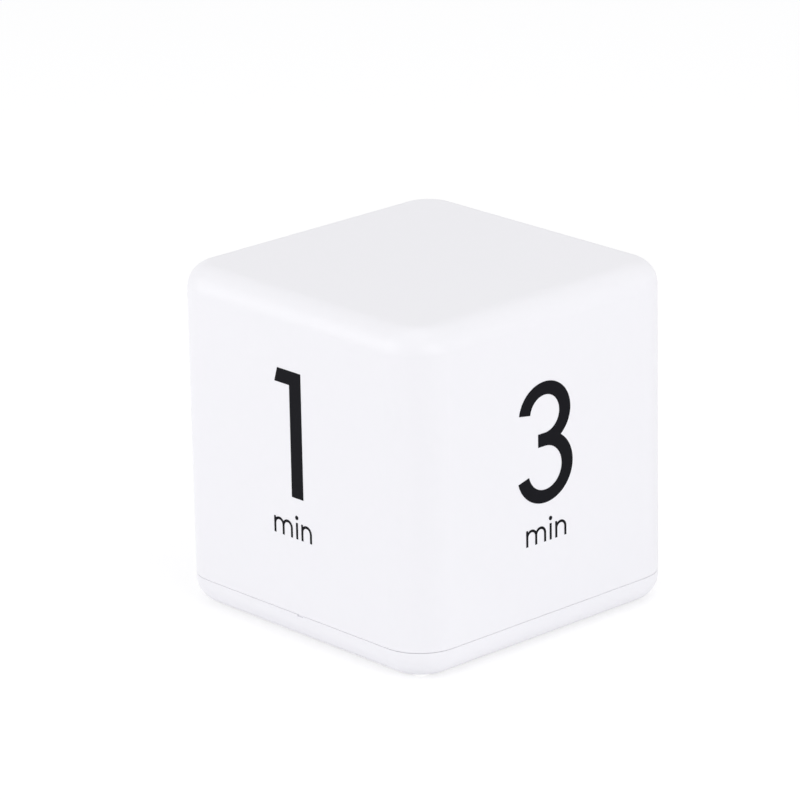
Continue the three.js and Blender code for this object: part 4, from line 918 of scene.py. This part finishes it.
def arched(startX, width, arches):
    # up the stem, over the arches, and back through the inside of each
    high, stroke = pick(minute, "xHeight stroke")
    span = (width - stroke) / arches
    radius = (span + stroke) / 2
    middle, join = high - radius, stroke * minute["joinShare"]
    centres = [startX + number * span + radius for number in range(arches)]
    line = [(startX, 0), (startX, high), (startX + stroke * minute["stemShare"], high)]
    for centre in centres:
        across = stroke * minute["stemShare"] if centre == centres[0] else join
        begin = math.degrees(math.acos((across - radius) / radius))
        over = arc(centre, middle, radius, begin, 0, minute["archSteps"])
        end = centre + radius - join
        line += over if centre == centres[-1] else [point for point in over if point[0] <= end]
    for centre in reversed(centres):
        line += [(centre + radius, 0), (centre + radius - stroke, 0)]
        line += arc(centre, middle, radius - stroke, 0, 180, minute["innerSteps"])
    return line + [(startX + stroke, 0)]


def minuteShapes(centre):
    high, stroke, gap, dot, wide, narrow = pick(minute, "xHeight stroke gap dotRadius mWidth nWidth")
    left = centre - (wide + 2 * gap + stroke + narrow) / 2
    x, half = left + wide + gap + stroke / 2, stroke / 2
    stem = [(x - half, 0), (x + half, 0), (x + half, high), (x - half, high)]
    point = loop(x, high + minute["dotRise"], dot, dot, minute["dotSteps"])
    return [[arched(left, wide, 2)], [stem], [point], [arched(x + half + gap, narrow, 1)]]


def printSides():
    oneWidth = one["stem"] + one["flagReach"] + one["flagSlant"]
    tenHalf = (oneWidth + ten["spacing"] + ten["zeroWidth"]) / 2
    oneShift = oneWidth - one["stemRight"] - tenHalf
    wide, high = ten["zeroWidth"] / 2, one["height"] / 2
    zero = [loop(tenHalf - wide, high, wide - across, high - upright, ten["steps"])
            for across, upright in ((0, 0), (three["stroke"] * three["broaden"], three["stroke"]))]
    numerals = (  # name, side, shapes, shift, base, node
        ("numeral1", 0, [oneShape()], 0, one["base"], "numeral_1"),
        ("numeral3", 1, threeShapes(), three["shift"], three["base"], "numeral_3"),
        ("numeral5", 2, fiveShapes(), three["shift"], three["base"], "numeral_5"),
        ("numeral10One", 3, [oneShape()], oneShift, one["base"], "numeral_10_one"),
        ("numeral10Zero", 3, [zero], 0, one["base"], "numeral_10_zero"),
    )
    for name, side, shapes, shift, base, replaced in numerals:
        printInk(name, [inkOn(side, [shape], shift, base) for shape in shapes], replaced)
    for side, number in enumerate((1, 3, 5, 10)):
        word = inkOn(side, minuteShapes(minute["centre"][side]), 0, minute["base"][side])
        printInk("minuteWord%d" % number, [word])


printSides()
print("print: numerals and minute words")

# floor, light and camera
stage = {"half": 1.6, "hole": 0.0293, "floorColor": (0.86, 0.86, 0.87), "bounceGlow": 0.1,
         "seenColor": (0.52, 0.52, 0.525), "seenGlow": 0.56}
lamps = {  # place in metres, size in metres, strength in watts
    "leftSoftbox": ((-0.45, -0.85, 0.3), 0.7, 3.3),
    "rightSoftbox": ((0.95, 0.0, 0.32), 0.7, 2.85),
    "topPanel": ((0.1, 0.15, 0.95), 0.8, 1.75),
}
photoView = {"target": (0, 0, 0.0335), "distance": 0.942, "azimuth": 47.04, "elevation": 19.2, "roll": -0.994,
             "focalPixels": 5000, "offsetRight": 24.6, "offsetDown": 29.7, "framePixels": 800, "sensor": 36,
             "near": 0.01, "far": 20}
worldLight = {"strength": 0.62, "color": (1.0, 1.0, 1.0), "backdrop": 1.0}


def bySight(tree, unseen, seen):
    # one shader for the rays that a viewer sees by, another for those that only carry light
    path = addNode(tree, "ShaderNodeLightPath").outputs
    indirect = mathNode(tree, "MAXIMUM", path["Is Glossy Ray"], path["Is Transmission Ray"])
    sight = mathNode(tree, "MAXIMUM", path["Is Camera Ray"], indirect)
    return feed(tree, "ShaderNodeMixShader", {"Fac": sight, 1: unseen, 2: seen})


def glowingMatte(tree, color, glow):
    return feed(tree, "ShaderNodeAddShader", {
        0: feed(tree, "ShaderNodeBsdfDiffuse", {"Color": (*color, 1)}),
        1: feed(tree, "ShaderNodeEmission", {"Strength": glow})})


def makeFloor():
    # a sheet with a hole under the cube, clear from below so that the base can be looked at
    corners = ((-1, -1), (1, -1), (1, 1), (-1, 1))
    points = [(x * half, y * half, 0) for half in (stage["half"], stage["hole"]) for x, y in corners]
    mesh = bpy.data.meshes.new("floor")
    mesh.from_pydata(points, [], [(0, 1, 5, 4), (1, 2, 6, 5), (2, 3, 7, 6), (3, 0, 4, 7)])
    material = bpy.data.materials.new("floor_finish")
    material.use_nodes = True
    tree = material.node_tree
    tree.nodes.clear()
    above = bySight(tree, glowingMatte(tree, stage["floorColor"], stage["bounceGlow"]),
                    glowingMatte(tree, stage["seenColor"], stage["seenGlow"]))
    back = feed(tree, "ShaderNodeNewGeometry", output="Backfacing")
    addNode(tree, "ShaderNodeOutputMaterial", {"Surface": feed(tree, "ShaderNodeMixShader", {
        "Fac": back, 1: above, 2: feed(tree, "ShaderNodeBsdfTransparent")})})
    mesh.materials.append(material)
    floor = newObject("floor", mesh)


def makeWorld():
    world = bpy.data.worlds.new("studio")
    bpy.context.scene.world = world
    world.use_nodes = True
    tree = world.node_tree
    light = fillInputs(tree, tree.nodes["Background"], {
        "Color": (*worldLight["color"], 1), "Strength": worldLight["strength"]})
    backdrop = feed(tree, "ShaderNodeBackground", {"Color": (1, 1, 1, 1), "Strength": worldLight["backdrop"]})
    fillInputs(tree, tree.nodes["World Output"], {"Surface": bySight(tree, light.outputs[0], backdrop)})


def makeLamps():
    for name, (place, size, watts) in lamps.items():
        data = bpy.data.lights.new(name, "AREA")
        data.shape = "SQUARE"
        data.size = size
        data.energy = watts
        lamp = newObject(name, data)
        lamp.location = place
        aim = Vector(photoView["target"]) - Vector(place)
        lamp.rotation_euler = aim.to_track_quat("-Z", "Y").to_euler()


def makeCamera():
    around, up, roll = (math.radians(angle) for angle in pick(photoView, "azimuth elevation roll"))
    axes = Matrix.Rotation(around, 3, "Z") @ Matrix.Rotation(math.pi / 2 - up, 3, "X")
    axes = axes @ Matrix.Rotation(roll, 3, "Z")
    right, down, focal, sensor = pick(photoView, "offsetRight offsetDown focalPixels sensor")
    # turned away from the object, which stands a little right and low of the photograph's middle
    back = (axes @ Vector((right, -down, focal))).normalized()
    across = (axes.col[0] - back * axes.col[0].dot(back)).normalized()
    data = bpy.data.cameras.new("photoCamera")
    data.sensor_width = sensor
    data.lens = sensor * focal / photoView["framePixels"]
    data.clip_start, data.clip_end = pick(photoView, "near far")
    camera = newObject("photoCamera", data)
    place = Vector(photoView["target"]) + axes.col[2] * photoView["distance"]
    turn = Matrix((across, back.cross(across), back)).transposed().to_4x4()
    camera.matrix_world = Matrix.Translation(place) @ turn
    bpy.context.scene.camera = camera


makeFloor()
makeWorld()
makeLamps()
makeCamera()
bpy.context.scene.view_settings.view_transform = "Standard"
print("studio: floor, light and camera")
